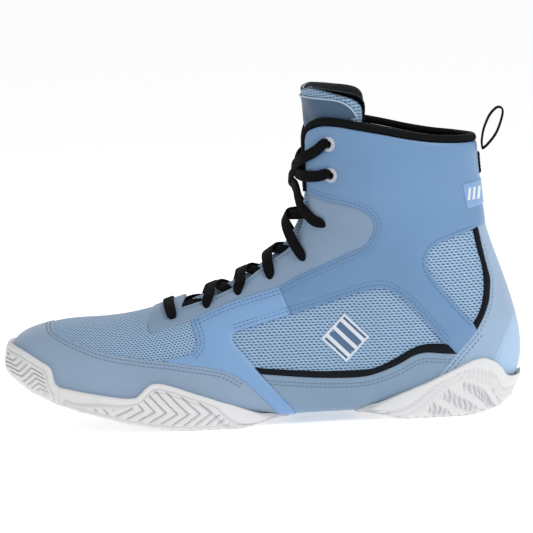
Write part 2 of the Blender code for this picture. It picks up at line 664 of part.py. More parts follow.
def crossing(row, side, over):
    """Lace points from the hole of a row on one side to the next row's hole on the other."""
    s0, t0 = on_side(*LACE_HOLES[row])
    s1, t1 = on_side(*LACE_HOLES[row + 1])
    middle = (s0 + s1) / 2
    slack = {4: 5.0, 5: 6.5}.get(row, 0.0)
    rise = (0.9 if over else -2.2) + slack
    last = 3.4 if row + 1 in RING_ROWS else 2.1
    steps = (
        (s0, t0, LACE_INSIDE), (s0 * 0.8 + s1 * 0.2, -0.13, LACE_INSIDE),
        (s0 * 0.66 + s1 * 0.34, -0.065, -5.2), (middle, 0.0, rise),
        (s0 * 0.3 + s1 * 0.7, 0.09, 2.6 + slack / 2), (s0 * 0.12 + s1 * 0.88, 0.15, 2.7),
        (s1, -t1 * 0.94, last), (s1, -t1, last - 1.6),
    )
    return [offset_point(s, -side * t, d) for s, t, d in steps]


def lace_half(side):
    """The lace from the bottom bar up one run to where its end is tucked in at the top."""
    path = []
    for row in range(len(LACE_HOLES) - 1):
        path += crossing(row, side * (-1) ** row, over=(row % 2 == 0) == (side < 0))
    top_side = side * (-1) ** (len(LACE_HOLES) - 1)
    s, t = on_side(*LACE_HOLES[-1])
    path += [offset_point(s, -top_side * t, LACE_INSIDE), offset_point(s - 0.05, top_side * 0.3, LACE_INSIDE)]
    return path


def build_lace():
    s, t = on_side(*LACE_HOLES[0])
    bar_points = [offset_point(s, u * t, d) for u, d in (
        (1, 0.5), (0.94, 2.1), (0.5, 1.9), (0, 1.6), (-0.5, 1.9), (-0.94, 2.1), (-1, 0.5))]
    path = lace_half(-1)[::-1] + bar_points + lace_half(1)
    tube("lace", path, LACE_R, BLACK, 0.85)
    s_top, _ = on_side(*LACE_HOLES[-1])
    for side, word in ((-1, "lateral"), (1, "medial")):
        ends = [offset_point(s_top - back, side * t, LACE_INSIDE) for back, t in AGLET_ROUTE]
        tube(f"aglet_{word}", ends, AGLET_R, BLACK, 0.3)
    for row in RING_ROWS:
        for side, word in ((-1, "lateral"), (1, "medial")):
            ring = sheet(f"eyelet_ring_{word}_{row + 1}", (0.8, 1.8), WHITE, 0.5, side, first=ANKLE_START)
            cut(ring, hole_pin(row, side, RING_R, 16), "INTERSECT")
            cut(ring, hole_pin(row, side, LACE_HOLE_R))


def build_collar_edge():
    half = []
    for x, z in COLLAR_EDGE:
        s, t = on_side(x, z)
        half.append((s, t))
    back_s = float(np.interp(BINDING_BACK_Z, (148, 172), KNOTS[20:22]))
    points = [offset_point(s, t, BINDING_DEPTH) for s, t in half]
    points += [offset_point(back_s - 0.002, t, BINDING_DEPTH) for t in (-0.94, 0.94)]
    points += [offset_point(s, -t, BINDING_DEPTH) for s, t in reversed(half)]
    tube("collar_binding", smooth(points, 2), BINDING_R, BLACK, 0.6)


def build_pull_loop():
    anchor = sheet("pull_loop_anchor", (0.8, 1.8), BLACK, 0.7, first=ANKLE_START)
    low, high = LOOP_ANCHOR_Z
    cut(anchor, prism("anchor_outline", ((115, low), (140, low), (140, high), (115, high)),
                      half=LOOP_WIDTH / 2), "INTERSECT")
    outer, inner = grown(PULL_LOOP, LOOP_TAPE / 2), grown(PULL_LOOP, -LOOP_TAPE / 2)
    count = len(outer)
    hinge = Vector((PULL_LOOP[0][0], 0, PULL_LOOP[0][1]))
    points = [Vector((x, y, z)) - hinge for y in (-LOOP_WIDTH / 2, LOOP_WIDTH / 2)
              for ring in (outer, inner) for x, z in ring]
    faces = []
    for i in range(count):
        k = (i + 1) % count
        for a, b in ((0, 1), (1, 3), (3, 2), (2, 0)):
            faces.append((a * count + i, a * count + k, b * count + k, b * count + i))
    loop = add_object("pull_loop", points, faces, BLACK, 0.7)
    loop.location = hinge * MM


for old in list(bpy.data.objects):
    bpy.data.objects.remove(old)
PARTS = bpy.data.collections.new("boxing_boot")
CUTTERS = bpy.data.collections.new("cutters")
for group in (PARTS, CUTTERS):
    bpy.context.scene.collection.children.link(group)

build_soles()
build_footbed()
build_linings()
build_leather()
build_badge()
build_tongue()
build_lace()
build_collar_edge()
build_pull_loop()
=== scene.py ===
import math

import bmesh
import bpy
import numpy as np
from mathutils import Matrix, Vector
from mathutils.geometry import delaunay_2d_cdt


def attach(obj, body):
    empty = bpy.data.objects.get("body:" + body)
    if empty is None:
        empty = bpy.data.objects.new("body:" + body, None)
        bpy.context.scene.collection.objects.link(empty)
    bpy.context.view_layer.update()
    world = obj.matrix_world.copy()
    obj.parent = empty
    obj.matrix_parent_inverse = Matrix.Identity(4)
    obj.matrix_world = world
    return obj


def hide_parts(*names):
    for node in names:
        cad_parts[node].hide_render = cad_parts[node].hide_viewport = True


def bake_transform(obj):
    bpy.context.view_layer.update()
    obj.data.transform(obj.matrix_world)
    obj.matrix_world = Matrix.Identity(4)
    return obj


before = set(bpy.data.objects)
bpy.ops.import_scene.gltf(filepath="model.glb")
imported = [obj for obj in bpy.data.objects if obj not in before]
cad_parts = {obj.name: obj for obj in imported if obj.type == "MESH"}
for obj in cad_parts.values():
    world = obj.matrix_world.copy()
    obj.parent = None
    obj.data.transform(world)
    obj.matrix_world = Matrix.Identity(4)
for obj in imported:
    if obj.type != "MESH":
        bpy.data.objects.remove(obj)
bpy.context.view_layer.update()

# The boot's surface, and the outlines drawn on it in side view (x, z), are the CAD's own, in
# millimetres: the toe points along -X, the outer side faces -Y and the soles stand on Z = 0.
MM = 0.001
SIDES = ((-1, "lateral"), (1, "medial"))
# One row per section, from the toe tip, round the ankle bend, to above the collar:
# the point on the ridge (x, z), the point under the sole or on the back (x, z), six
# half-widths from ridge to base, and how far the section's middle is shifted inwards (y).
SECTIONS = (
    (-142.0, 39.0, -141.8, 35.0, 2.5, 4.0, 4.6, 4.6, 3.6, 2.0, 8.0),
    (-140.2, 47.0, -138.4, 31.4, 8.0, 14.0, 18.0, 19.5, 18.5, 10.0, 8.0),
    (-135.0, 53.0, -132.2, 27.6, 11.0, 20.5, 27.0, 29.5, 28.5, 16.0, 8.0),
    (-124.0, 57.5, -122.0, 22.5, 13.0, 25.5, 33.5, 37.0, 36.0, 22.0, 7.5),
    (-109.0, 60.5, -108.0, 18.0, 15.0, 28.5, 38.0, 42.0, 41.5, 26.0, 6.0),
    (-91.0, 61.5, -88.0, 12.4, 15.0, 28.5, 39.5, 45.0, 44.5, 28.0, 3.0),
    (-72.0, 63.5, -65.0, 7.4, 14.0, 27.0, 39.0, 46.0, 46.0, 29.0, 0.0),
    (-54.0, 68.0, -39.0, 4.8, 13.0, 25.0, 37.0, 45.0, 45.0, 28.0, -3.0),
    (-36.0, 74.5, -11.0, 4.6, 12.5, 23.5, 34.0, 41.5, 41.0, 25.0, -4.0),
    (-18.0, 82.5, 18.0, 5.2, 12.0, 22.5, 31.5, 37.5, 36.5, 22.0, -3.0),
    (-2.0, 90.5, 50.0, 5.2, 12.0, 22.5, 31.0, 35.5, 34.0, 21.0, -1.5),
    (9.5, 99.0, 84.0, 5.0, 12.5, 23.5, 33.0, 36.0, 33.0, 20.0, 0.0),
    (17.0, 108.0, 110.0, 5.3, 13.0, 25.0, 35.0, 36.0, 31.0, 18.0, 0.0),
    (21.5, 117.0, 127.0, 8.0, 13.5, 26.0, 36.5, 35.5, 27.0, 14.0, 0.0),
    (24.0, 127.0, 140.5, 18.0, 14.0, 27.0, 37.5, 34.5, 24.0, 12.0, 0.0),
    (25.3, 138.0, 145.6, 36.0, 14.5, 27.5, 38.0, 34.5, 22.0, 11.0, 0.0),
    (26.0, 148.0, 142.6, 59.0, 15.0, 28.0, 38.0, 33.5, 20.5, 10.0, 0.0),
    (26.5, 157.0, 135.5, 83.0, 15.0, 28.0, 38.0, 32.5, 19.0, 9.5, 0.0),
    (27.0, 165.0, 129.3, 104.0, 15.0, 28.0, 38.0, 32.5, 19.5, 9.5, 0.0),
    (27.0, 173.0, 126.8, 126.0, 15.5, 28.5, 38.5, 33.5, 22.0, 10.5, 0.0),
    (25.5, 183.0, 125.6, 148.0, 16.0, 29.0, 39.5, 35.5, 24.0, 12.0, 0.0),
    (24.5, 195.0, 126.3, 172.0, 16.0, 29.5, 40.0, 36.5, 25.0, 12.5, 0.0),
)
# How far down a section its third to fifth widths lie, in the foot and in the shaft.
FOOT_DEPTHS = (0.12, 0.40, 0.75, 1.0)
SHAFT_DEPTHS = (0.10, 0.34, 0.66, 0.92)
ANKLE_START, ANKLE_END = 12, 17  # sections between which the one turns into the other

# How far the pieces' faces stand off the boot's surface, outwards.
PANEL_LOW, MESH_LOW, LINING_HIGH = -0.9, -1.8, -3.6
RUBBER_LOW, RUBBER_HIGH = 0.6, 3.2
# How far the rows of stitches lie from the edges they follow.
STITCH_ROWS, COVER_ROWS, QUARTER_ROWS, HEEL_ROW = (1.9, 4.0), (1.9, 4.2), (3.4, 5.4), 2.0
# The underside of the soles in side view (x, z): toe spring, ball, arch, heel.
GROUND = (
    (-146, 35), (-140, 30.5), (-130, 23), (-117, 17), (-103, 12), (-90, 8.6), (-77, 5),
    (-63, 2.4), (-50, 0.6), (-43, 0), (-2, 0), (8, 1.6), (18, 3.5), (46, 3.5), (60, 0.8),
    (68, 0), (114, 0), (126, 2.6), (133, 4.5), (140, 10), (145, 19), (148, 30),
)

# Outlines and edges in side view (x, z).
TOE_GUARD_TOP = (
    (-116.5, 58.5), (-115, 56), (-109, 52.7), (-101, 49.2), (-91, 45.3),
    (-81, 42.8), (-66, 40.3), (-51, 38.3), (-37, 35.8), (-25, 33.5), (-17, 30.4),
    (-10, 25.7), (-3, 18.7), (4, 11.5), (10, 2), (12, -6),
)
SADDLE_REAR = (
    (-16, 50.6), (-14.5, 46), (-9.5, 40.2), (-4.5, 33.4), (3.5, 23.8), (10.5, 15.6),
    (17.5, 6.8), (21, -6),
)
SADDLE_FRONT = (
    (-55, 39.2), (-46.5, 40.2), (-40, 42), (-37, 45), (-35.6, 47.5), (-35.9, 51.4),
    (-37.2, 55.7), (-38.5, 60.2),
)
WINDOW_TOP = (
    (-14.3, 53.2), (-2, 56.4), (17.3, 61.4), (27.2, 63.9), (41.7, 68.2), (59.7, 73.4),
    (68.4, 74.5), (73.4, 73.2), (81, 68), (89, 60), (95.6, 51.6), (102, 42.6), (105, 40.8),
)
PIPING_TOP = (
    (105, 40.8), (98.4, 41.8), (91, 41.6), (83.4, 39.1), (75, 34.6), (66.5, 30.8),
    (58, 29), (36, 29.2), (18.6, 30.6), (4, 32.2), (-3.7, 33.3),
)
PIPING_LOW = (
    (-0.5, 29.4), (18.4, 27), (32.5, 25.6), (47, 24.9), (57.8, 25.2), (66.4, 27.2),
    (76.5, 31), (85, 35.4), (92.4, 37), (101.5, 36), (109.6, 35.2),
)
HEEL_WINDOW = (
    (119.5, 51.9), (117.2, 54.5), (109.3, 64), (101.5, 73.8), (97, 80.5), (94.6, 85.7),
    (94.8, 90.7), (97.5, 95), (102.6, 98.2), (110.7, 100.7), (121, 103.6),
)
HEEL_PIPING_IN = (
    (122, 103.9), (123.8, 93), (126, 84.6), (126.8, 76.4), (126.5, 69), (124.8, 61.2),
    (122.2, 55.6), (119.5, 51.9),
)
HEEL_PIPING_OUT = (
    (121.5, 47.9), (125.5, 54.8), (128.7, 62.4), (129.8, 68.7), (130.2, 76),
    (128.4, 84.3), (126.3, 95), (124.6, 104.8),
)
COLLAR_TOP = (
    (124, 152.6), (116, 153), (102, 154.4), (87.6, 157), (73.3, 160.4),
    (59, 163.5), (48.4, 165.6), (39.8, 166), (33.3, 163.9), (30.6, 160), (30, 152.8),
)
THROAT = (
    (30, 127.5), (28.8, 120), (26.9, 112), (23, 103.5), (17.5, 97), (11.3, 92.8),
    (2.4, 87), (-9, 79.5), (-21.5, 73.8), (-33, 70), (-44, 66.8),
)
EYESTAY_LOW = (
    (-62.7, 59.5), (-62.6, 56.6), (-60.4, 54.4), (-45.8, 58.2), (-38, 60.3), (-18.3, 68.3), (11.4, 76.4),
    (25.5, 83.5), (43, 90.8), (52.4, 94.9), (61, 99), (65, 105), (66.4, 110),
    (64.2, 115), (58.6, 119.5), (50, 122), (39.4, 124.4), (31.7, 127.6),
)

COVER_LOW, COVER_TOP = ((84, -6), (88, 5), (98, 22.6), (109.6, 35.2), (121.5, 47.9)), (128, 106.2)
HEEL_CAP_EDGE = ((122, -6), (124.5, 10), (126, 18), (131, 31.7), (137, 45), (143.5, 57.5))
HEEL_PATCH = ((127.7, 117.2), (118.2, 115.6), (116, 129.7), (126.3, 131.2))
COLLAR_BACK_Z = 152.0
VAMP_LOW = ((-120, 56), (-113, 50), (-92, 41), (-67, 36.5), (-42, 33.5))
QUARTER_MESH = (
    (-20, 51), (-17, 57), (-2, 61), (27, 68.5), (59, 78), (69, 79), (77, 76), (92, 64),
    (106, 44.5), (108, 38), (100, 33), (88, 33), (76, 27), (66, 23.5), (47, 21), (18, 23),
    (0, 26), (-8, 32),
)
HEEL_MESH = (
    (90, 92), (96, 99), (104, 102.5), (121, 107), (126, 104), (130, 84), (130, 70),
    (126, 56), (121, 47), (113, 54), (104, 66), (95, 77), (90, 86),
)
LINING_THROAT = (
    (19, 93.4), (11, 89.5), (2, 83.6), (-9, 76), (-21.5, 70.2), (-33, 66.5), (-44, 63.6),
)
LINING_WAIST = ((19, 93.4), (26, 93.8), (70, 96.4), (118, 99.5))
LINING_FRONT = (
    (19, 93.6), (27, 101), (31, 110), (33, 120), (34, 128), (34, 160), (36, 163.5), (39.8, 166),
)
TONGUE_SIDE = (
    (-56, 58), (-44, 56.8), (-33, 60), (-12, 68), (6, 77), (20, 85), (32, 96), (41, 112),
    (48, 130), (56, 150),
)
TONGUE_FRONT_TOP = (
    (60.5, 165), (61.8, 172), (61, 177), (57.5, 180.2), (51.5, 182.4), (45, 184.2),
    (38, 186.2), (31, 187.9),
)
TONGUE_BACK_TOP = (
    (61.5, 165), (63.5, 174), (63, 179.5), (59.5, 183), (53, 184.8), (46, 185.8), (38, 187),
    (31, 187.8),
)
FACING_TOP = ((58.6, 171), (56.6, 174.6), (53, 178), (47.6, 180.3), (38, 181.4), (31, 181.8))
FACING_LOW = ((31, 163.5), (45, 166), (58.6, 171))
BUMPER_REAR = -113.15
TOE_BUMPER = (
    (-138, 48), (-131.8, 45.2), (-124, 40.6), (-119, 37.7), (-117.2, 34.3), (-116, 28.8),
    (-113.3, 26.4),
)
FOREFOOT_SOLE = (
    (-113, 26.2), (-102.6, 23.7), (-88, 21.4), (-77.7, 19.8), (-70.6, 20.1), (-67.5, 22.4),
    (-63.3, 26.2), (-59.3, 27.7), (-52.3, 26.7), (-37.4, 21.2), (-22.6, 15.5), (-7.7, 9),
    (4, 5), (14, 3.2),
)
HEEL_SOLE = (
    (52, 3.6), (65.6, 9.5), (82.4, 15.9), (99.3, 23), (112.6, 28.4),
    (119.5, 31), (126, 31.6), (131, 29.7), (135, 25.5), (138.5, 20.8), (143, 20.7),
    (155, 22),
)
BADGE_CENTRE = (47.5, 47.3)
BADGE_SIZE = 13.5
BADGE_BAND = 1.6

LACE_HOLES = (
    (-48.7, 61.8), (-29.5, 67.7), (-11.6, 74.2), (6.8, 82.2), (25.8, 91.9), (37.9, 110.5),
    (43.6, 138.7), (43.0, 156.2),
)
RING_ROWS, RING_R, RING_HOLE_R = (6, 7), 4.3, 1.9  # the two top rows, which have rings
HIDDEN_PARTS = (
    "insole_board", "lasting_board", "drop_in_midsole", "collar_padding", "toe_puff", "heel_counter",
)
BEND_ROW = 4  # the row whose crossing stands off where the ankle bends
LACE_WIDTH, LACE_THICK, LACE_INSIDE = 6.3, 1.5, -6.4  # inside: where it runs under the eyestay
# The top crossings: out of a hole, over the ridge at the front, and back.
ANKLE_LACE = ((32.5, 114), (28, 121), (27.4, 129.5), (24, 137))
RING_LACE = ((37, 138.3), (29.6, 138.3), (24, 142), (29.6, 147.2), (36.8, 152.2))
AGLET_ROUTE = ((0.0525, 0.303), (0.075, 0.317), (0.095, 0.33))  # s below the top row, and t
COLLAR_EDGE = (
    (28.3, 129), (28.3, 140), (28.3, 151), (28.8, 160), (32, 166), (38.5, 168.5),
    (48.4, 167.9), (59, 165.8), (73.3, 162.7), (87.6, 159.3), (102, 156.7), (116, 155.3),
)
BINDING_DEPTH, BINDING_BACK_Z = -1.85, 155.4
PULL_LOOP = (
    (129.4, 147.4), (132.6, 149.8), (137.4, 155.5), (140.4, 162), (142, 168), (140.9, 170.4),
    (138.2, 170.2), (134.2, 166), (130.8, 158.5), (129.5, 152), (129.6, 148.0),
)
LOOP_WIDTH = 9.0
LOOP_ANCHOR_Z = (134, 146)


def bell(value, width):
    """1 where the value is 0, falling smoothly to 0 a few widths away."""
    return np.exp(-((value / width) ** 2))


def smoothstep(value, low, high):
    share = np.clip((value - low) / (high - low), 0, 1)
    return share * share * (3 - 2 * share)


def natural_spline(knots, values):
    """A function that runs a smooth curve through the rows of values at the knots."""
    count = len(knots)
    step = np.diff(knots)
    matrix = np.eye(count)
    right = np.zeros_like(values)
    for i in range(1, count - 1):
        matrix[i, i - 1:i + 2] = step[i - 1], 2 * (step[i - 1] + step[i]), step[i]
        right[i] = 6 * ((values[i + 1] - values[i]) / step[i] - (values[i] - values[i - 1]) / step[i - 1])
    bend = np.linalg.solve(matrix, right)

    def curve(at):
        at = np.clip(at, knots[0], knots[-1])
        i = np.clip(np.searchsorted(knots, at) - 1, 0, count - 2)
        a = ((knots[i + 1] - at) / step[i])[:, None]
        b = ((at - knots[i]) / step[i])[:, None]
        return a * values[i] + b * values[i + 1] + (
            (a**3 - a) * bend[i] + (b**3 - b) * bend[i + 1]
        ) * step[i][:, None] ** 2 / 6

    return curve


def section_rows():
    rows = []
    for i, row in enumerate(SECTIONS):
        share = min(max((i - ANKLE_START) / (ANKLE_END - ANKLE_START), 0), 1)
        depths = [f + share * (s - f) for f, s in zip(FOOT_DEPTHS, SHAFT_DEPTHS)]
        rows.append(row + tuple(depths))
    return np.array(rows)


ROWS = section_rows()
STEPS = np.linalg.norm(np.diff(ROWS[:, :4], axis=0), axis=1)
KNOTS = np.concatenate([[0], np.cumsum(STEPS)]) / STEPS.sum()
SECTION_AT = natural_spline(KNOTS, ROWS)
LENGTH, GIRTH = 330.0, 120.0  # about how many millimetres a whole s and a whole t come to


def weights(t):
    """Cubic B-spline weights of the eight points that shape half a section."""
    knots = (0, 0, 0, 0, 1, 2, 3, 4, 5, 5, 5, 5)
    u = np.minimum(t, 1 - 1e-9) * 5
    n = [((knots[j] <= u) & (u < knots[j + 1])).astype(float) for j in range(11)]
    for degree in range(1, 4):
        for j in range(11 - degree):
            left, right = knots[j + degree] - knots[j], knots[j + degree + 1] - knots[j + 1]
            n[j] = ((u - knots[j]) / left * n[j] if left else 0) + (
                (knots[j + degree + 1] - u) / right * n[j + 1] if right else 0)
    return np.stack(n[:8], -1)


def skin(s, t):
    """Boot surface points at s along it and t round it: 0 on the ridge, -1 and 1 at the base."""
    s, t = np.asarray(s, float), np.asarray(t, float)
    t = (t + 1) % 2 - 1
    row = SECTION_AT(s)
    zero, one = np.zeros(len(s)), np.ones(len(s))
    share = weights(np.abs(t))
    down = (share * np.stack([zero, zero, *row[:, 11:15].T, one, one], 1)).sum(1)
    out = (share * np.stack([zero, *row[:, 4:10].T, zero], 1)).sum(1)
    side = np.where(t < 0, -1.0, 1.0)
    x = row[:, 0] + (row[:, 2] - row[:, 0]) * down
    z = row[:, 1] + (row[:, 3] - row[:, 1]) * down
    return np.stack([x, row[:, 10] + side * out, z], 1)


def slopes(s, t):
    """How the surface point moves with s and with t."""
    e = 1e-4
    ahead, behind = np.minimum(s + e, 1), np.maximum(s - e, 0)
    along = (skin(ahead, t) - skin(behind, t)) / (ahead - behind)[:, None]
    across = (skin(s, t + e) - skin(s, t - e)) / (2 * e)
    return along, across


def outward(s, t):
    along, across = slopes(s, t)
    normal = np.cross(along, across)
    return normal / np.linalg.norm(normal, axis=1)[:, None]


def lifted(st, distance):
    """Surface points moved outwards by a distance each."""
    return skin(st[:, 0], st[:, 1]) + outward(st[:, 0], st[:, 1]) * np.reshape(distance, (-1, 1))


def on_side(points, side=-1):
    """The (s, t) of the surface points that side view shows at each (x, z), on side -1 or 1."""
    points = np.asarray(points, float)
    low, high = np.zeros(len(points)), np.ones(len(points))
    for _ in range(36):
        s = (low + high) / 2
        row = SECTION_AT(s)
        ahead = (row[:, 2] - row[:, 0]) * (points[:, 1] - row[:, 1]) - (
            (row[:, 3] - row[:, 1]) * (points[:, 0] - row[:, 0])) > 0
        low, high = np.where(ahead, s, low), np.where(ahead, high, s)
    line = row[:, 2:4] - row[:, 0:2]
    down = ((points - row[:, 0:2]) * line).sum(1) / (line * line).sum(1)
    zero, one = np.zeros(len(s)), np.ones(len(s))
    depths = np.stack([zero, zero, *row[:, 11:15].T, one, one], 1)
    near, far = zero.copy(), one.copy()
    for _ in range(36):
        t = (near + far) / 2
        above = (weights(t) * depths).sum(1) < down
        near, far = np.where(above, t, near), np.where(above, far, t)
    return np.stack([s, side * t], 1)


def smooth(path, per_span=8):
    """A Catmull-Rom curve through the points of a path."""
    path = np.asarray(path, float)
    if len(path) < 3:
        return np.linspace(path[0], path[-1], per_span + 1)
    padded = np.vstack([2 * path[0] - path[1], path, 2 * path[-1] - path[-2]])
    made = []
    for a, b, c, d in zip(padded, padded[1:], padded[2:], padded[3:]):
        u = np.arange(per_span)[:, None] / per_span
        made.append(0.5 * (2 * b + (c - a) * u + (2 * a - 5 * b + 4 * c - d) * u**2
                           + (3 * b - a - 3 * c + d) * u**3))
    return np.vstack(made + [path[-1:]])


def run(points, side=-1):
    """A smooth line on one side of the boot through side-view points, as (s, t)."""
    return on_side(smooth(points), side)


def straight(*points, side=-1):
    """Straight lines between side-view points, as (s, t)."""
    points = np.array(points, float)
    parts = [np.linspace(a, b, 9)[:-1] for a, b in zip(points, points[1:])]
    return on_side(np.vstack(parts + [points[-1:]]), side)


def chord(a, b):
    """A line between two (s, t)."""
    return np.linspace(np.asarray(a, float), np.asarray(b, float), 25)


def mirrored(line):
    """The same line on the other side, in the other direction."""
    return (line * (1, -1))[::-1]


def behind(line):
    """The line with the outer side counted on from the inner side, past the base at 1."""
    return np.stack([line[:, 0], np.where(line[:, 1] < 0, line[:, 1] + 2, line[:, 1])], 1)


def base_s(z=None, x=None):
    """The s where the base or back line reaches a height (on the back) or an x (under the foot)."""
    s = np.linspace(0, 1, 2000)
    place = skin(s, np.ones(2000))
    if x is not None:
        keep = s < KNOTS[15]
        return float(np.interp(x, place[keep, 0], s[keep]))
    keep = s > KNOTS[13]
    return float(np.interp(z, place[keep, 2], s[keep]))


def resampled(line, spacing):
    """The line with its points spaced evenly along the surface, ends kept."""
    steps = np.linalg.norm(np.diff(skin(line[:, 0], line[:, 1]), axis=0), axis=1)
    far = np.concatenate([[0], np.cumsum(steps)])
    if far[-1] < 1e-6:
        return line[:1]
    count = max(1, int(round(far[-1] / spacing)))
    at = np.linspace(0, far[-1], count + 1)
    return np.stack([np.interp(at, far, line[:, k]) for k in (0, 1)], 1)


def moved(line, distance):
    """The line shifted sideways along the surface: to the left of its direction is positive."""
    s, t = line.T
    along, across = slopes(s, t)
    ahead = np.gradient(skin(s, t), axis=0)
    ahead /= np.linalg.norm(ahead, axis=1)[:, None] + 1e-12
    left = np.cross(outward(s, t), ahead)
    ss, st_, tt = (along * along).sum(1), (along * across).sum(1), (across * across).sum(1)
    a, b = (along * left).sum(1), (across * left).sum(1)
    det = ss * tt - st_**2
    return line + np.stack([(a * tt - b * st_) / det, (b * ss - a * st_) / det], 1) * distance


def distance_to(places, line, closed=False):
    """Each place's distance to the nearest point of a polyline in space."""
    ends = np.roll(line, -1, axis=0) if closed else line[1:]
    starts = line if closed else line[:-1]
    best = np.full(len(places), np.inf)
    for a, b in zip(starts, ends):
        along = b - a
        size = along @ along
        if size < 1e-12:
            continue
        share = np.clip((places - a) @ along / size, 0, 1)
        best = np.minimum(best, np.linalg.norm(places - a - share[:, None] * along, axis=1))
    return best


def inside(points, loop):
    """Which points lie inside a closed loop, in a plane."""
    found = np.zeros(len(points), bool)
    x, y = points.T
    for (x0, y0), (x1, y1) in zip(loop, np.roll(loop, -1, axis=0)):
        if y0 == y1:
            continue
        crosses = (y0 > y) != (y1 > y)
        found ^= crosses & (x < (x1 - x0) * (y - y0) / (y1 - y0) + x0)
    return found


def add_mesh(name, points, faces, finish, uv=None, body="boot", sharp=42):
    """A smooth-shaded piece from points in millimetres that rides on a body."""
    mesh = bpy.data.meshes.new(name)
    mesh.from_pydata((np.asarray(points) * MM).tolist(), [], [tuple(map(int, f)) for f in faces])
    if uv is not None:
        layer = mesh.uv_layers.new(name="UVMap")
        corners = np.zeros(len(mesh.loops), np.int32)
        mesh.loops.foreach_get("vertex_index", corners)
        layer.data.foreach_set("uv", np.asarray(uv, np.float32)[corners].ravel())
    mesh.shade_smooth()
    mesh.set_sharp_from_angle(angle=math.radians(sharp))
    mesh.materials.append(FINISH[finish])
    made = bpy.data.objects.new(name, mesh)
    bpy.context.scene.collection.objects.link(made)
    if body:
        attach(made, body)
    return made


def filled(outline, rows, holes, spacing):
    """(points, triangles) over the (s, t) outline, with extra rows of points and with holes."""
    scale = np.array((LENGTH, GIRTH))
    rings = [outline] + list(holes)
    fixed = np.vstack(rings)
    edges, first = [], 0
    for ring in rings:
        count = len(ring)
        edges += [(first + i, first + (i + 1) % count) for i in range(count)]
        first += count
    lines = [r for r in rows if len(r) > 1]
    extra = np.vstack(lines) if lines else np.zeros((0, 2))
    low, high = outline.min(0), outline.max(0)
    step = np.array((spacing, spacing * 0.87)) / scale
    s, t = np.meshgrid(np.arange(low[0], high[0], step[0]), np.arange(low[1], high[1], step[1]))
    s = s + (np.arange(s.shape[0]) % 2)[:, None] * step[0] / 2
    grid = np.stack([s.ravel(), t.ravel()], 1)

    def room(points, walls, gap):
        points = points[inside(points, outline)]
        for hole in holes:
            points = points[~inside(points, hole)]
        if not len(points):
            return points
        places = skin(*points.T)
        for wall, closed in walls:
            far = distance_to(places, skin(*wall.T), closed) > gap
            points, places = points[far], places[far]
        return points

    walls = [(ring, True) for ring in rings]
    extra = room(extra, walls, spacing * 0.2)
    grid = room(grid, walls + [(line, False) for line in lines], spacing * 0.5)
    points = np.vstack([fixed, extra, grid])
    flat = points * scale
    made = delaunay_2d_cdt([Vector(p) for p in flat], edges, [], 0, 1e-6)
    points = np.array([tuple(v) for v in made[0]]) / scale
    faces = np.array(made[2])
    middles = points[faces].mean(1)
    keep = inside(middles, outline)
    for hole in holes:
        keep &= ~inside(middles, hole)
    faces = faces[keep]
    used = np.unique(faces)
    renumber = np.zeros(len(points), int)
    renumber[used] = np.arange(len(used))
    return points[used], renumber[faces]


def rim(faces):
    """The edges that only one triangle uses, in that triangle's direction."""
    ends = np.concatenate([faces[:, [0, 1]], faces[:, [1, 2]], faces[:, [2, 0]]])
    _, index, count = np.unique(np.sort(ends, axis=1), axis=0, return_inverse=True, return_counts=True)
    return ends[count[index.reshape(-1)] == 1]


def pattern_uv(points, places, how):
    """Centimetres on the piece, for woven patterns: in side view, or along and round the boot."""
    if how == "side":
        return places[:, [0, 2]] * 0.1
    return points * (LENGTH * 0.1, GIRTH * 0.1)


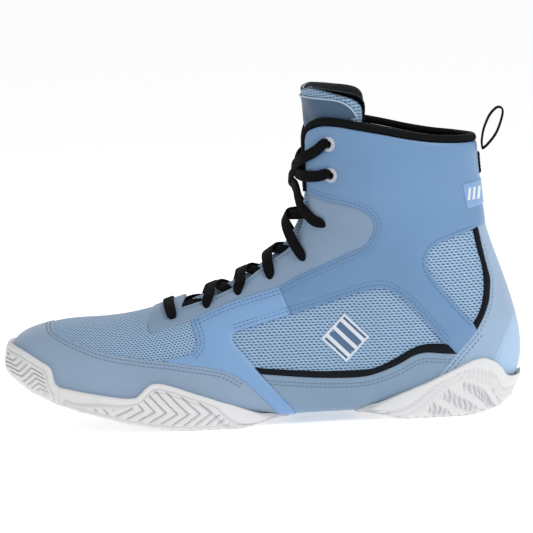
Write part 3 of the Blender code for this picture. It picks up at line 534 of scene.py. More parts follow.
class Panel:
    """A sewn panel or moulded shell over part of the boot surface.

    outline: lines of (s, t) that close a loop, anticlockwise with s to the right and t up.
    The top face lies `high` above the surface, rolls down at its edges, and dips at each
    groove; a wall goes down from the edge to `low`.
    """

    def __init__(self, outline, low, high, spacing=1.6, roll=0.35, grooves=(), dip=0.22, dip_width=0.5,
                 holes=(), relief=None, place=lifted, open_edges=()):
        runs = [resampled(line, spacing) for line in outline]
        loop = []
        for line in runs:
            start = 1 if loop and np.allclose(loop[-1], line[0], atol=1e-7) else 0
            loop += list(line[start:])
        if np.allclose(loop[0], loop[-1], atol=1e-7):
            loop.pop()
        loop = np.array(loop)
        after = np.roll(loop, -1, axis=0)
        if np.sum(loop[:, 0] * after[:, 1] - after[:, 0] * loop[:, 1]) < 0:
            loop = loop[::-1]
        edges = [line for i, line in enumerate(runs) if i not in open_edges and len(line) > 1]
        holes = [np.asarray(hole) for hole in holes]
        extra = []
        for groove in grooves:
            groove = resampled(groove, spacing)
            extra += [moved(groove, k * dip_width) for k in (-1.6, 0, 1.6)]
        if roll:
            for line in edges:
                fine = resampled(line, spacing)
                if len(fine) > 2:
                    extra += [moved(fine, k) for k in (roll, -roll)]
        st, faces = filled(loop, extra, holes, spacing)
        places = skin(*st.T)
        far = np.full(len(places), 99.0)
        for line in edges:
            far = np.minimum(far, distance_to(places, skin(*resampled(line, spacing / 2).T)))
        for hole in holes:
            far = np.minimum(far, distance_to(places, skin(*hole.T), True))
        height = np.full(len(places), float(high))
        if roll:
            near = np.clip(1 - far / roll, 0, 1)
            height -= roll * 0.9 * (1 - np.sqrt(np.clip(1 - near**2, 0, 1)))
        for groove in grooves:
            height -= dip * bell(distance_to(places, skin(*groove.T)), dip_width)
        # How deep each point lies in a groove, 0 to 1; the rubber finish paints shade by it.
        self.groove_shade = np.zeros(len(places))
        if relief:
            added = relief(st, place(st, height), far)
            self.groove_shade = np.clip(-added / 0.6, 0, 1)
            height = height + added
        edge = rim(faces)
        ends = np.unique(edge)
        under = np.zeros(len(st), int)
        under[ends] = np.arange(len(ends)) + len(st)
        bottom = place(st[ends], np.full(len(ends), float(low)))
        self.points = np.vstack([place(st, height), bottom])
        self.faces = [tuple(f) for f in faces] + [(b, a, under[a], under[b]) for a, b in edge]
        self.st = np.vstack([st, st[ends]])

    def piece(self, name, finish, nodes=(), uv="side", body="boot", flip=False, weld=0.0, cap=False,
              shade=False):
        """Make the mesh. shade writes how deep each point lies in a groove, for the finish to darken as
        painted shade.
        """
        faces = [f[::-1] for f in self.faces] if flip else self.faces
        made = add_mesh(name, self.points, faces, finish, pattern_uv(self.st, self.points, uv), body)
        if shade:
            groove_shade = np.zeros(len(self.points), np.float32)
            groove_shade[:len(self.groove_shade)] = self.groove_shade
            made.data.attributes.new("groove_shade", "FLOAT", "POINT").data.foreach_set("value", groove_shade)
        if weld or cap:
            bm = bmesh.new()
            bm.from_mesh(made.data)
            if weld:
                bmesh.ops.remove_doubles(bm, verts=bm.verts, dist=weld * MM)
            if cap:
                bmesh.ops.holes_fill(bm, edges=[e for e in bm.edges if e.is_boundary], sides=cap)
            bm.to_mesh(made.data)
            bm.free()
        if nodes:
            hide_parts(*nodes)
        return made


def ring_line(s, t, radius, count=24):
    """A circle of a radius on the surface round a point."""
    along, across = slopes(np.array([s]), np.array([t]))
    out = outward(np.array([s]), np.array([t]))[0]
    one = along[0] / np.linalg.norm(along[0])
    two = np.cross(out, one)
    turns = np.arange(count) * math.tau / count
    offsets = (np.cos(turns)[:, None] * one + np.sin(turns)[:, None] * two) * radius
    basis = np.stack([along[0], across[0]], 1)
    return np.array((s, t)) + np.linalg.lstsq(basis, offsets.T, rcond=None)[0].T


def stitches(name, lines, height, finish, pitch=2.5, length=1.75, radius=0.29, relief=None):
    """A row of short thread stitches along each line, in one piece."""
    shares = np.array((-0.5, -0.42, -0.18, 0.18, 0.42, 0.5))
    sizes = np.array((0.15, 0.7, 1.0, 1.0, 0.7, 0.15))
    sides = 6
    turns = np.arange(sides) * math.tau / sides
    all_points, all_faces, first = [], [], 0
    for line in lines:
        middle = resampled(line, pitch)
        if len(middle) < 3:
            continue
        middle = (middle[:-1] + middle[1:]) / 2
        rise = relief(middle, skin(*middle.T), np.full(len(middle), 2.6)) if relief else 0.0
        places = lifted(middle, np.full(len(middle), float(height)) + rise)
        out = outward(*middle.T)
        ahead = np.gradient(places, axis=0)
        ahead -= out * (ahead * out).sum(1)[:, None]
        ahead /= np.linalg.norm(ahead, axis=1)[:, None]
        side = np.cross(out, ahead)
        for p, a, o, d in zip(places, ahead, out, side):
            turned = (np.cos(turns)[:, None] * d + np.sin(turns)[:, None] * o * 0.8) * radius
            all_points += [p + a * length * k + turned * r for k, r in zip(shares, sizes)]
            for i in range(len(shares) - 1):
                for j in range(sides):
                    k = (j + 1) % sides
                    at = first + i * sides
                    all_faces.append((at + j, at + k, at + sides + k, at + sides + j))
            all_faces.append(tuple(range(first + sides - 1, first - 1, -1)))
            all_faces.append(tuple(range(first + (len(shares) - 1) * sides, first + len(shares) * sides)))
            first += sides * len(shares)
    add_mesh(name, np.vstack(all_points), all_faces, finish)


def swept_band(centre, up, width, thick, sides=14, square=0.55):
    """Points, faces and UV of a band along a centre line, with its flat face towards `up` at each point."""
    centre, up = np.asarray(centre, float), np.asarray(up, float)
    count = len(centre)
    width = np.broadcast_to(width, count)
    thick = np.broadcast_to(thick, count)
    ahead = np.gradient(centre, axis=0)
    ahead /= np.linalg.norm(ahead, axis=1)[:, None]
    side = np.cross(ahead, up)
    side /= np.linalg.norm(side, axis=1)[:, None]
    up = np.cross(side, ahead)
    turns = np.arange(sides) * math.tau / sides
    across = np.sign(np.cos(turns)) * np.abs(np.cos(turns)) ** square
    rise = np.sign(np.sin(turns)) * np.abs(np.sin(turns)) ** square
    points = (centre[:, None] + side[:, None] * (across[:, None] * width[:, None, None] / 2)
              + up[:, None] * (rise[:, None] * thick[:, None, None] / 2)).reshape(-1, 3)
    far = np.concatenate([[0], np.cumsum(np.linalg.norm(np.diff(centre, axis=0), axis=1))])
    uv = np.stack([np.repeat(far * 0.1, sides), (across[None] * width[:, None] * 0.05).ravel()], 1)
    faces = []
    for i in range(count - 1):
        for j in range(sides):
            k = (j + 1) % sides
            faces.append((i * sides + k, i * sides + j, (i + 1) * sides + j, (i + 1) * sides + k))
    faces += [tuple(range(sides)), tuple(range(count * sides - 1, (count - 1) * sides - 1, -1))]
    return points, faces, uv


def ribbon(name, centre, up, width, thick, finish, body="boot", nodes=(), **shape):
    points, faces, uv = swept_band(centre, up, width, thick, **shape)
    made = add_mesh(name, points, faces, finish, uv, body, sharp=60)
    if nodes:
        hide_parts(*nodes)
    return made


class Finish:
    """A procedural material: its nodes are added one by one and joined to the shader."""

    def __init__(self, name, colour, roughness, sheen=0.0, coat=0.0, specular=0.5):
        self.made = bpy.data.materials.new(name)
        self.made.use_nodes = True
        self.tree = self.made.node_tree
        self.shader = self.tree.nodes["Principled BSDF"]
        self.colour = colour
        self.shader.inputs["Base Color"].default_value = (*colour, 1)
        self.shader.inputs["Roughness"].default_value = roughness
        self.shader.inputs["Sheen Weight"].default_value = sheen
        self.shader.inputs["Sheen Roughness"].default_value = 0.45
        self.shader.inputs["Coat Weight"].default_value = coat
        self.shader.inputs["Coat Roughness"].default_value = 0.4
        self.shader.inputs["Specular IOR Level"].default_value = specular
        self.place = self.tree.nodes.new("ShaderNodeTexCoord")
        self.last_normal = None

    def node(self, kind, settings=None, **inputs):
        made = self.tree.nodes.new(kind)
        for key, value in (settings or {}).items():
            setattr(made, key, value)
        for key, value in inputs.items():
            self.feed(made.inputs[key.replace("_", " ")], value)
        return made

    def feed(self, socket, value):
        if isinstance(value, bpy.types.NodeSocket):
            self.tree.links.new(value, socket)
        else:
            socket.default_value = value

    def maths(self, operation, a, b=0.0):
        made = self.node("ShaderNodeMath", {"operation": operation})
        self.feed(made.inputs[0], a)
        self.feed(made.inputs[1], b)
        return made.outputs[0]

    def step(self, value, low, high):
        made = self.node("ShaderNodeMapRange", {"interpolation_type": "SMOOTHSTEP"})
        for key, item in (("Value", value), ("From Min", low), ("From Max", high)):
            self.feed(made.inputs[key], item)
        return made.outputs[0]

    def noise(self, scale, detail=2.0, roughness=0.5, uv=False):
        where = self.place.outputs["UV" if uv else "Object"]
        return self.node("ShaderNodeTexNoise", Vector=where, Scale=scale, Detail=detail,
                         Roughness=roughness).outputs["Fac"]

    def grain(self, scale):
        """Pebbled leather cells: 0 in the creases between them."""
        made = self.node("ShaderNodeTexVoronoi", {"feature": "DISTANCE_TO_EDGE"},
                         Vector=self.place.outputs["Object"], Scale=scale)
        return self.step(made.outputs["Distance"], 0.0, 0.12)

    def tint(self, share, colour):
        """Mixes a colour in by a share that varies over the surface."""
        mix = self.node("ShaderNodeMix", {"data_type": "RGBA"})
        base = self.shader.inputs["Base Color"]
        source = base.links[0].from_socket if base.links else None
        self.feed(mix.inputs[0], share)
        if source:
            self.feed(mix.inputs[6], source)
        else:
            mix.inputs[6].default_value = base.default_value
        mix.inputs[7].default_value = (*colour, 1)
        self.tree.links.new(mix.outputs[2], base)
        return self

    def mottle(self, scale, amount, darker=0.8):
        """Slow colour variation, as in dyed leather or cloth."""
        share = self.maths("MULTIPLY", self.step(self.noise(scale, 3.0), 0.35, 0.7), amount)
        return self.tint(share, tuple(c * darker for c in self.colour))

    def bump(self, height, distance, strength=1.0):
        inputs = {"Height": height, "Distance": distance, "Strength": strength}
        if self.last_normal:
            inputs["Normal"] = self.last_normal
        self.last_normal = self.node("ShaderNodeBump", **inputs).outputs[0]
        self.tree.links.new(self.last_normal, self.shader.inputs["Normal"])
        return self

    def gloss(self, value, low, high):
        made = self.node("ShaderNodeMapRange", Value=value)
        made.inputs["To Min"].default_value = low
        made.inputs["To Max"].default_value = high
        self.tree.links.new(made.outputs[0], self.shader.inputs["Roughness"])
        return self

    def split_uv(self):
        parts = self.node("ShaderNodeSeparateXYZ", Vector=self.place.outputs["UV"])
        return parts.outputs[0], parts.outputs[1]


def satin_leather(name, colour):
    f = Finish(name, colour, 0.4, sheen=0.12, coat=0.12, specular=0.45)
    f.mottle(22, 0.5, 0.9)
    f.tint(f.maths("MULTIPLY", f.noise(2600, 2), 0.12), tuple(c * 0.82 for c in colour))
    f.gloss(f.noise(160, 4), 0.36, 0.5)
    f.bump(f.noise(60, 2), 0.0005, 0.25)
    f.bump(f.grain(1150), 0.00006, 0.35)
    return f.made


def microfibre(name, colour, warm=None):
    f = Finish(name, colour, 0.78, sheen=0.3, specular=0.3)
    f.mottle(30, 0.55, 0.88)
    worn = f.maths("MULTIPLY", f.step(f.noise(12, 3), 0.45, 0.75), 0.35)
    f.tint(worn, warm or tuple(c * 1.08 for c in colour))
    f.tint(f.maths("MULTIPLY", f.noise(3800, 2), 0.22), tuple(c * 0.74 for c in colour))
    f.gloss(f.noise(220, 3), 0.68, 0.86)
    f.bump(f.noise(45, 2), 0.0006, 0.2)
    f.bump(f.noise(4200, 3, 0.7), 0.00008, 0.4)
    return f.made


def slit_mesh(name, colour, dark, pitch=(0.27, 0.19), slit=(0.36, 0.17), depth=0.0004):
    """Knitted mesh: staggered rows of slanted dark slits between smooth cords."""
    f = Finish(name, colour, 0.72, sheen=0.25, specular=0.3)
    u, v = f.split_uv()
    wander = f.maths("MULTIPLY", f.maths("SUBTRACT", f.noise(2.0, 2, uv=True), 0.5), 0.09)
    u = f.maths("DIVIDE", f.maths("ADD", u, wander), pitch[0])
    v = f.maths("DIVIDE", f.maths("ADD", v, wander), pitch[1])
    row = f.maths("FLOOR", v)
    shifted = f.maths("ADD", u, f.maths("MULTIPLY", f.maths("MODULO", row, 2.0), 0.5))
    x = f.maths("SUBTRACT", f.maths("FRACT", shifted), 0.5)
    y = f.maths("SUBTRACT", f.maths("FRACT", v), 0.5)
    x = f.maths("ADD", x, f.maths("MULTIPLY", y, 0.35))
    round_ = f.maths("SQRT", f.maths("ADD", f.maths("POWER", f.maths("DIVIDE", x, slit[0]), 2.0),
                                     f.maths("POWER", f.maths("DIVIDE", y, slit[1] * 2), 2.0)))
    cord = f.step(round_, 0.55, 1.15)
    f.mottle(30, 0.4, 0.9)
    threads = f.maths("MULTIPLY", f.noise(3000, 2), 0.3)
    f.tint(threads, tuple(c * 0.7 for c in colour))
    f.tint(f.maths("SUBTRACT", 1.0, cord), dark)
    f.bump(cord, depth, 0.9)
    f.bump(f.noise(3500, 2), 0.0001, 0.3)
    return f.made


def white_rubber(name, colour):
    f = Finish(name, colour, 0.5, specular=0.4)
    f.mottle(40, 0.35, 0.93)
    f.tint(f.maths("MULTIPLY", f.step(f.noise(75, 4, 0.7), 0.56, 0.75), 0.22), (0.52, 0.50, 0.46))
    # Painted shade: the rubber is mixed towards dark grey, up to 62%, where it lies deep in a groove.
    groove_shade = f.node("ShaderNodeAttribute", {"attribute_name": "groove_shade"}).outputs["Fac"]
    f.tint(f.maths("MULTIPLY", groove_shade, 0.62), (0.36, 0.37, 0.40))
    f.gloss(f.noise(300, 3), 0.44, 0.62)
    f.bump(f.noise(1500, 3, 0.6), 0.0001, 0.35)
    return f.made


def woven_tape(name, colour, pale, rows=9.0, picks=4.5, rough=0.85):
    """Braided or woven tape: slanted picks that change direction at the middle, by UV."""
    f = Finish(name, colour, rough, sheen=0.02, specular=0.07)
    u, v = f.split_uv()
    fold = f.maths("ABSOLUTE", v)
    slant = f.maths("ADD", f.maths("MULTIPLY", u, rows), f.maths("MULTIPLY", fold, picks * 2))
    strand = f.maths("ABSOLUTE", f.maths("SUBTRACT", f.maths("FRACT", slant), 0.5))
    strand = f.step(strand, 0.08, 0.42)
    f.tint(f.maths("MULTIPLY", strand, 0.5), pale)
    f.tint(f.maths("MULTIPLY", f.noise(2600, 2), 0.3), pale)
    f.bump(strand, 0.0002, 0.8)
    f.bump(f.noise(3500, 2), 0.0001, 0.4)
    return f.made


def coarse_lining(name, colour, pale):
    """Spacer mesh lining: rows of small hexagonal holes."""
    f = Finish(name, colour, 0.85, sheen=0.03, specular=0.1)
    cells = f.node("ShaderNodeTexVoronoi", {"feature": "F1"}, Vector=f.place.outputs["Object"], Scale=420,
                   Randomness=0.25)
    hole = f.step(cells.outputs["Distance"], 0.15, 0.55)
    f.tint(f.maths("MULTIPLY", hole, 0.6), pale)
    f.tint(f.maths("MULTIPLY", f.noise(2500, 2), 0.3), pale)
    f.bump(hole, 0.0005, 0.9)
    return f.made


def plain_cloth(name, colour, rough, scale=2400, amount=0.3, sheen=0.2, specular=0.35):
    """Fine woven or moulded matter with a little grain and colour variation."""
    f = Finish(name, colour, rough, sheen=sheen, specular=specular)
    f.mottle(50, 0.5, 0.85)
    f.tint(f.maths("MULTIPLY", f.noise(scale, 2), amount), tuple(c * 0.7 + 0.01 for c in colour))
    f.gloss(f.noise(scale / 8, 3), rough - 0.07, rough + 0.07)
    f.bump(f.noise(scale, 2), 0.0001, 0.5)
    return f.made


CUFF_BLUE = (0.140, 0.275, 0.480)
STRAP_BLUE = (0.205, 0.375, 0.640)
STAY_BLUE = (0.235, 0.330, 0.465)
GUARD_BLUE = (0.290, 0.395, 0.540)
COVER_BLUE = (0.335, 0.455, 0.615)
CAP_BLUE = (0.400, 0.560, 0.760)
MESH_BLUE = (0.350, 0.525, 0.740)
MESH_DARK = (0.065, 0.125, 0.215)
FACING_BLUE = (0.060, 0.110, 0.185)

FINISH = {
    "cuff": satin_leather("satin_leather_cuff", CUFF_BLUE),
    "strap": satin_leather("satin_leather_strap", STRAP_BLUE),
    "stay": microfibre("microfibre_eyestay", STAY_BLUE),
    "guard": microfibre("microfibre_toe_guard", GUARD_BLUE, (0.32, 0.37, 0.43)),
    "quarter": microfibre("microfibre_lower_quarter", (0.240, 0.345, 0.470)),
    "cover": microfibre("microfibre_heel_cover", COVER_BLUE),
    "cap": microfibre("microfibre_heel_cap", CAP_BLUE),
    "mesh": slit_mesh("slit_mesh_blue", MESH_BLUE, MESH_DARK, pitch=(0.26, 0.155), slit=(0.42, 0.15)),
    "fine_mesh": slit_mesh("slit_mesh_vamp", MESH_BLUE, MESH_DARK, pitch=(0.20, 0.16), slit=(0.36, 0.16)),
    "tongue_mesh": slit_mesh("slit_mesh_tongue", (0.30, 0.46, 0.66), (0.10, 0.17, 0.27), pitch=(0.20, 0.22),
                             slit=(0.26, 0.24), depth=0.0006),
    "facing": microfibre("microfibre_tongue_facing", FACING_BLUE),
    "rubber": white_rubber("white_rubber", (0.74, 0.74, 0.745)),
    "lace": woven_tape("braided_lace", (0.0025, 0.0025, 0.0035), (0.008, 0.008, 0.010)),
    "webbing": woven_tape("black_webbing", (0.004, 0.004, 0.006), (0.012, 0.012, 0.015), rows=6.0, picks=0.0),
    "binding": plain_cloth("black_binding", (0.004, 0.005, 0.006), 0.8, sheen=0.02, specular=0.06),
    "piping": plain_cloth("black_piping", (0.007, 0.009, 0.013), 0.7, sheen=0.02, specular=0.08),
    "lining": coarse_lining("black_spacer_mesh", (0.004, 0.005, 0.006), (0.018, 0.020, 0.025)),
    # The two blue threads are darker than the panels they run on: partly the thread's own grey-blue, partly
    # painted shade of the needle holes.
    "thread": plain_cloth("blue_thread", (0.110, 0.215, 0.380), 0.6),
    "pale_thread": plain_cloth("pale_thread", (0.150, 0.230, 0.340), 0.6),
    "dark_thread": plain_cloth("black_thread", (0.012, 0.012, 0.015), 0.6),
    "ring": plain_cloth("moulded_eyelet_ring", (0.50, 0.54, 0.60), 0.42, sheen=0.0),
    "trim": plain_cloth("white_raised_trim", (0.76, 0.80, 0.86), 0.55, sheen=0.0),
    "pale_piping": plain_cloth("pale_piping", (0.42, 0.55, 0.70), 0.6),
    "field": plain_cloth("blue_badge_field", (0.090, 0.170, 0.300), 0.6),
    "foam": plain_cloth("foam", (0.55, 0.56, 0.57), 0.9, scale=1500),
    "board": plain_cloth("fibre_board", (0.45, 0.36, 0.24), 0.9, scale=900),
    "plastic": plain_cloth("black_plastic", (0.012, 0.012, 0.014), 0.35, scale=500, sheen=0.0),
    "insole": coarse_lining("black_sockliner_cloth", (0.010, 0.011, 0.014), (0.05, 0.055, 0.065)),
}


def camera_like_photo():
    """Level with the outer side, looking along +Y and a little down, with the toe tipped down."""
    elevation, roll = math.radians(5.5), math.radians(2.5)
    flat_up = Vector((0, math.sin(elevation), math.cos(elevation)))
    level_right = Vector((1, 0, 0))
    right = level_right * math.cos(roll) - flat_up * math.sin(roll)
    up = level_right * math.sin(roll) + flat_up * math.cos(roll)
    back = right.cross(up)
    target, distance = Vector((5.1, -15.0, 87.5)) * MM, 4.0
    data = bpy.data.cameras.new("photo_camera")
    data.lens, data.sensor_width = 480.0, 36.0
    data.clip_start, data.clip_end = 0.05, 20.0
    camera = bpy.data.objects.new("photo_camera", data)
    turn = Matrix((right, up, back)).transposed().to_4x4()
    camera.matrix_world = Matrix.Translation(target + back * distance) @ turn
    bpy.context.scene.collection.objects.link(camera)
    bpy.context.scene.camera = camera


def soft_light(name, place, aim, size, power, colour=(1, 1, 1)):
    data = bpy.data.lights.new(name, "AREA")
    data.shape, data.size, data.energy, data.color = "DISK", size, power, colour
    light = bpy.data.objects.new(name, data)
    light.location = place
    light.rotation_euler = (Vector(aim) - Vector(place)).to_track_quat("-Z", "Y").to_euler()
    bpy.context.scene.collection.objects.link(light)


def studio():
    camera_like_photo()
    soft_light("key", (1.3, -0.9, 1.3), (0, 0, 0.08), 0.7, 13)
    soft_light("fill", (-1.3, -1.0, 0.6), (0, 0, 0.08), 1.2, 1.6)
    soft_light("rim", (0.3, 1.0, 1.0), (0, 0, 0.08), 1.0, 3)
    world = bpy.data.worlds.new("pale_room")
    world.use_nodes = True
    world.node_tree.nodes["Background"].inputs[0].default_value = (1, 1, 1, 1)
    world.node_tree.nodes["Background"].inputs[1].default_value = 0.55
    bpy.context.scene.world = world
    bpy.context.scene.view_settings.view_transform = "Standard"
    bpy.ops.mesh.primitive_plane_add(size=80)
    floor = bpy.context.object
    floor.name = "studio_floor"
    matte = Finish("pale_floor", (0.93, 0.93, 0.93), 0.9, specular=0.05)
    matte.mottle(3, 0.1, 0.97)
    shader = matte.made.node_tree.nodes["Principled BSDF"]
    shader.inputs["Emission Color"].default_value = (1, 1, 1, 1)
    shader.inputs["Emission Strength"].default_value = 0.45
    floor.data.materials.append(matte.made)


studio()


def corner(x, z, side=-1):
    """The (s, t) of one point in side view."""
    return on_side([(x, z)], side)[0]


def past_base(line):
    """An inner-side line carried over to the outer side, counted past the base, and reversed."""
    return (line * (1, -1) + (0, 2))[::-1]


def over_ridge(half):
    """Outer-side lines and their inner-side copies, which close a loop across the ridge."""
    return half + [mirrored(line) for line in reversed(half)]


def over_base(half):
    """Inner-side lines and their outer-side copies, which close a loop across the base."""
    return half + [past_base(line) for line in reversed(half)]


def paired(lines, flip):
    """Each line followed by its copy on the other side."""
    return [item for line in lines for item in (line, flip(line))]


def rows_in(line, distance):
    """A stitch line beside an edge, to the left of it."""
    return moved(resampled(line, 2.0), distance)


def domed(rise, reach, start=0.0):
    """A relief that swells by `rise` over the distance `reach` in from the edge."""
    return lambda st, places, far: rise * np.clip((far - start) / reach, 0, 1)


def rounded(far, reach):
    """A quarter circle: 0 at the edge, 1 from the distance `reach` inwards."""
    return np.sqrt(np.clip(1 - (1 - np.clip(far / reach, 0, 1)) ** 2, 0, 1))


def padded_cuff(st, places, far):
    """The foam under the collar swells between the top edge and the ankle."""
    x, z = places[:, 0], places[:, 2]
    band = bell(z - 136, 17) * np.clip((x - 40) / 25, 0, 1) * np.clip((124 - x) / 20, 0, 1)
    return 1.7 * band * np.clip(far / 9, 0, 1) + 0.3 * np.clip(far / 5, 0, 1)


def over_cuff(st, places, far):
    """Follows the swell of the padded cuff underneath."""
    return padded_cuff(st, places, np.full(len(places), 12.0))


def saddle_seam(st, places, far):
    """The strap is two pieces of leather: a step and a shallow groove where they join."""
    x, z = places[:, 0], places[:, 2]
    across = (x + 18.5) * 0.89 + (z - 60) * 0.46
    step = 0.25 / (1 + np.exp(-np.clip(across, -20, 20) / 0.35))
    return (step - 0.3 * bell(across, 0.5)) * (z > 50) + 0.3 * np.clip(far / 6, 0, 1)


def guard_edge(points):
    """The toe guard's top edge, from the ridge along the outer side."""
    line = run(points)
    return np.vstack([(line[0, 0], 0.0), line[line[:, 1] < -1e-3]])


def build_toe_guard():
    top, tip = guard_edge(TOE_GUARD_TOP), 0.012
    top[-1, 1] = -1
    rear = top[-1, 0]
    outline = [top[::-1], top * (1, -1), chord((rear, 1), (tip, 1)), chord((tip, 1), (tip, -1)),
               chord((tip, -1), (rear, -1))]
    guard = Panel(outline, PANEL_LOW, 0.55, open_edges=(2, 3, 4),
                  grooves=paired([rows_in(top, -k) for k in STITCH_ROWS], mirrored))
    guard.piece("toe_guard_panel", "guard", ["toe_guard"], "round", weld=0.02)


def build_vamp():
    low = run(VAMP_LOW)
    rear = straight((-42, 33.5), (-31, 42), (-31, 62), (-44, 62.5), (-52, 64.5))
    front_s, rear_s = corner(-121, 70)[0], corner(-54, 70)[0]
    half = [chord((front_s, 0), low[0]), low, rear, chord(rear[-1], (rear_s, 0))]
    vamp = Panel(over_ridge(half), MESH_LOW, -0.45, roll=0,
                 relief=lambda st, places, far: 0.45 * bell(st[:, 1], 0.5))
    vamp.piece("vamp_mesh_panel", "fine_mesh", ["vamp_mesh"], "round")


def build_eyestay():
    low, throat = run(EYESTAY_LOW), run(THROAT)
    start = chord((corner(-62.5, 90)[0], 0), low[0])
    bridge = chord(throat[-1], (corner(-46.5, 90)[0], 0))
    punched = LACE_HOLES[:RING_ROWS[0]]
    stay = Panel(
        over_ridge([start, low, chord(low[-1], throat[0]), throat, bridge]), PANEL_LOW, 0.55,
        holes=[ring_line(*corner(*place, side), 1.7) for place in punched for side in (-1, 1)],
        grooves=(rows_in(throat, 2.2), rows_in(mirrored(throat), 2.2)), relief=domed(0.35, 6))
    stay.piece("eyestay_panel", "stay", ["eyestay"], "round")


def build_heel_cover():
    low = behind(straight(*COVER_LOW, side=1))
    low[0, 1] = 1.0
    front = behind(run(HEEL_PIPING_OUT, side=1))
    top = behind(straight(HEEL_PIPING_OUT[-1], COVER_TOP, side=1))
    top = np.vstack([top, [(base_s(z=COVER_TOP[1]), 1.0)]])
    seam = low[12:]
    cover = Panel(over_base([low, front, top]), PANEL_LOW, 0.6, relief=domed(0.25, 10),
                  grooves=[rows_in(line, k) for line in (seam, past_base(seam)) for k in COVER_ROWS])
    cover.piece("heel_cover_panel", "cover", ["heel_cover"], "side")


def build_heel_cap():
    edge = np.vstack([behind(run(HEEL_CAP_EDGE, side=1)), [(base_s(z=59), 1.0)]])
    edge[0, 1] = 1.0
    outline = over_base([edge])
    cap = Panel(outline, -0.3, 1.0, roll=0.5, grooves=[rows_in(line, HEEL_ROW) for line in outline])
    cap.piece("heel_cap_panel", "cap", ["heel_cap"], "side")


def build_cuff(side, word):
    window, heel_window = run(WINDOW_TOP[2:], side), run(HEEL_WINDOW, side)
    stay_edge, collar = run(EYESTAY_LOW[6:], side)[::-1], run(COLLAR_TOP, side)
    low, high = (base_s(z=107.0), side), (base_s(z=COLLAR_BACK_Z), side)
    outline = [
        window, straight(WINDOW_TOP[-1], *COVER_LOW[3:], HEEL_WINDOW[0], side=side), heel_window,
        np.vstack([straight(HEEL_WINDOW[-1], COVER_TOP, side=side), [low]]), chord(low, high),
        np.vstack([[high], collar[:1]]), collar,
        straight(COLLAR_TOP[-1], THROAT[0], EYESTAY_LOW[-1], side=side), stay_edge,
        straight(EYESTAY_LOW[6], WINDOW_TOP[2], side=side)]
    grooves = [rows_in(edge, -side * k) for edge in (window, stay_edge) for k in STITCH_ROWS]
    grooves += [rows_in(heel_window, -side * HEEL_ROW)]
    holes = [ring_line(*corner(*LACE_HOLES[row], side), RING_HOLE_R) for row in RING_ROWS]
    cuff = Panel(outline, PANEL_LOW, 0.9, roll=0.45, grooves=grooves, holes=holes, open_edges=(4,),
                 relief=padded_cuff)
    made = cuff.piece(f"ankle_cuff_panel_{word}", "cuff", [f"ankle_cuff_{word}"])


def build_saddle(side, word):
    front, upper = run(SADDLE_FRONT, side), run(SADDLE_FRONT[-1:] + EYESTAY_LOW[5:7], side)
    back, rear = run(WINDOW_TOP[1::-1], side), run(SADDLE_REAR, side)
    toe = run(TOE_GUARD_TOP[:6:-1], side)
    rear[-1, 1] = toe[0, 1] = side
    outline = [front, upper, straight(EYESTAY_LOW[6], *WINDOW_TOP[2:0:-1], side=side), back,
               straight(WINDOW_TOP[0], SADDLE_REAR[0], side=side), rear, chord(rear[-1], toe[0]), toe,
               straight(TOE_GUARD_TOP[7], SADDLE_FRONT[0], side=side)]
    saddle = Panel(outline, PANEL_LOW, 0.9, roll=0.45, open_edges=(6,), relief=saddle_seam,
                   grooves=[rows_in(edge, side * k) for edge in (front, upper, back) for k in STITCH_ROWS])
    saddle.piece(f"saddle_strap_panel_{word}", "strap", [f"saddle_strap_{word}"])


def build_quarter(side, word):
    top, front = run(PIPING_LOW, side), run(SADDLE_REAR[4:], side)[::-1]
    rear = straight(*COVER_LOW[2::-1], side=side)
    front[0, 1] = rear[-1, 1] = side
    outline = [top, straight(PIPING_LOW[-1], COVER_LOW[2], side=side), rear, chord(rear[-1], front[0]), front,
               straight(SADDLE_REAR[4], PIPING_LOW[0], side=side)]
    quarter = Panel(outline, PANEL_LOW, 0.5, open_edges=(3,),
                    grooves=[rows_in(top, side * k) for k in QUARTER_ROWS])
    quarter.piece(f"lower_quarter_panel_{word}", "quarter", [f"lower_quarter_{word}"])


def build_windows(side, word):
    """The two mesh windows of a side, and the dark cord along each."""
    for name, points, reach in (("quarter_mesh", QUARTER_MESH, 14), ("heel_mesh", HEEL_MESH, 10)):
        mesh = Panel([run(points + points[:1], side)], MESH_LOW, -0.5, roll=0, relief=domed(0.5, reach, 3))
        mesh.piece(f"{name}_panel_{word}", "mesh", [f"{name}_{word}"])
    pipings = ("side_piping", PIPING_TOP, PIPING_LOW), ("heel_piping", HEEL_PIPING_IN, HEEL_PIPING_OUT)
    for name, one, two in pipings:
        outline = [run(one, side), straight(one[-1], two[0], side=side), run(two, side),
                   straight(two[-1], one[0], side=side)]
        piping = Panel(outline, PANEL_LOW, 0.2, spacing=1.0, roll=0,
                       relief=lambda st, places, far: 1.1 * rounded(far, 1.9))
        piping.piece(f"{name}_band_{word}", "piping", [f"{name}_{word}"])


build_toe_guard()
build_vamp()
build_eyestay()
build_heel_cover()
build_heel_cap()
for side, word in SIDES:
    build_cuff(side, word)
    build_saddle(side, word)
    build_quarter(side, word)
    build_windows(side, word)


def ground_z(x):
    return np.interp(x, *zip(*GROUND))


def below(st):
    """How far a sole point has turned from the side wall to the flat underside, 0 to 1."""
    t = np.abs((st[:, 1] + 1) % 2 - 1)
    return smoothstep(t, 0.69, 0.775) * (1 - smoothstep(st[:, 0], KNOTS[14], KNOTS[15]))


def on_sole(st, height):
    """Rubber that hugs the sides and the arch, and lies flat on the ground elsewhere."""
    places = lifted(st, height)
    x = places[:, 0]
    arch = smoothstep(x, -14, 10) * (1 - smoothstep(x, 56, 80))
    tread = ground_z(x) + RUBBER_HIGH - height
    places[:, 2] += (tread - places[:, 2]) * below(st) * (1 - arch)
    return places


def cut_line(coordinate, pitch, width):
    """1 along evenly spaced thin grooves, 0 between them."""
    return bell(np.abs((coordinate / pitch + 0.5) % 1 - 0.5) * pitch, width)


def rim_lines(far):
    """The rounded lip along a rubber edge, with the fine groove under it."""
    return 0.25 * bell(far - 1.2, 1.0) - 0.4 * bell(far - 3.0, 0.35)


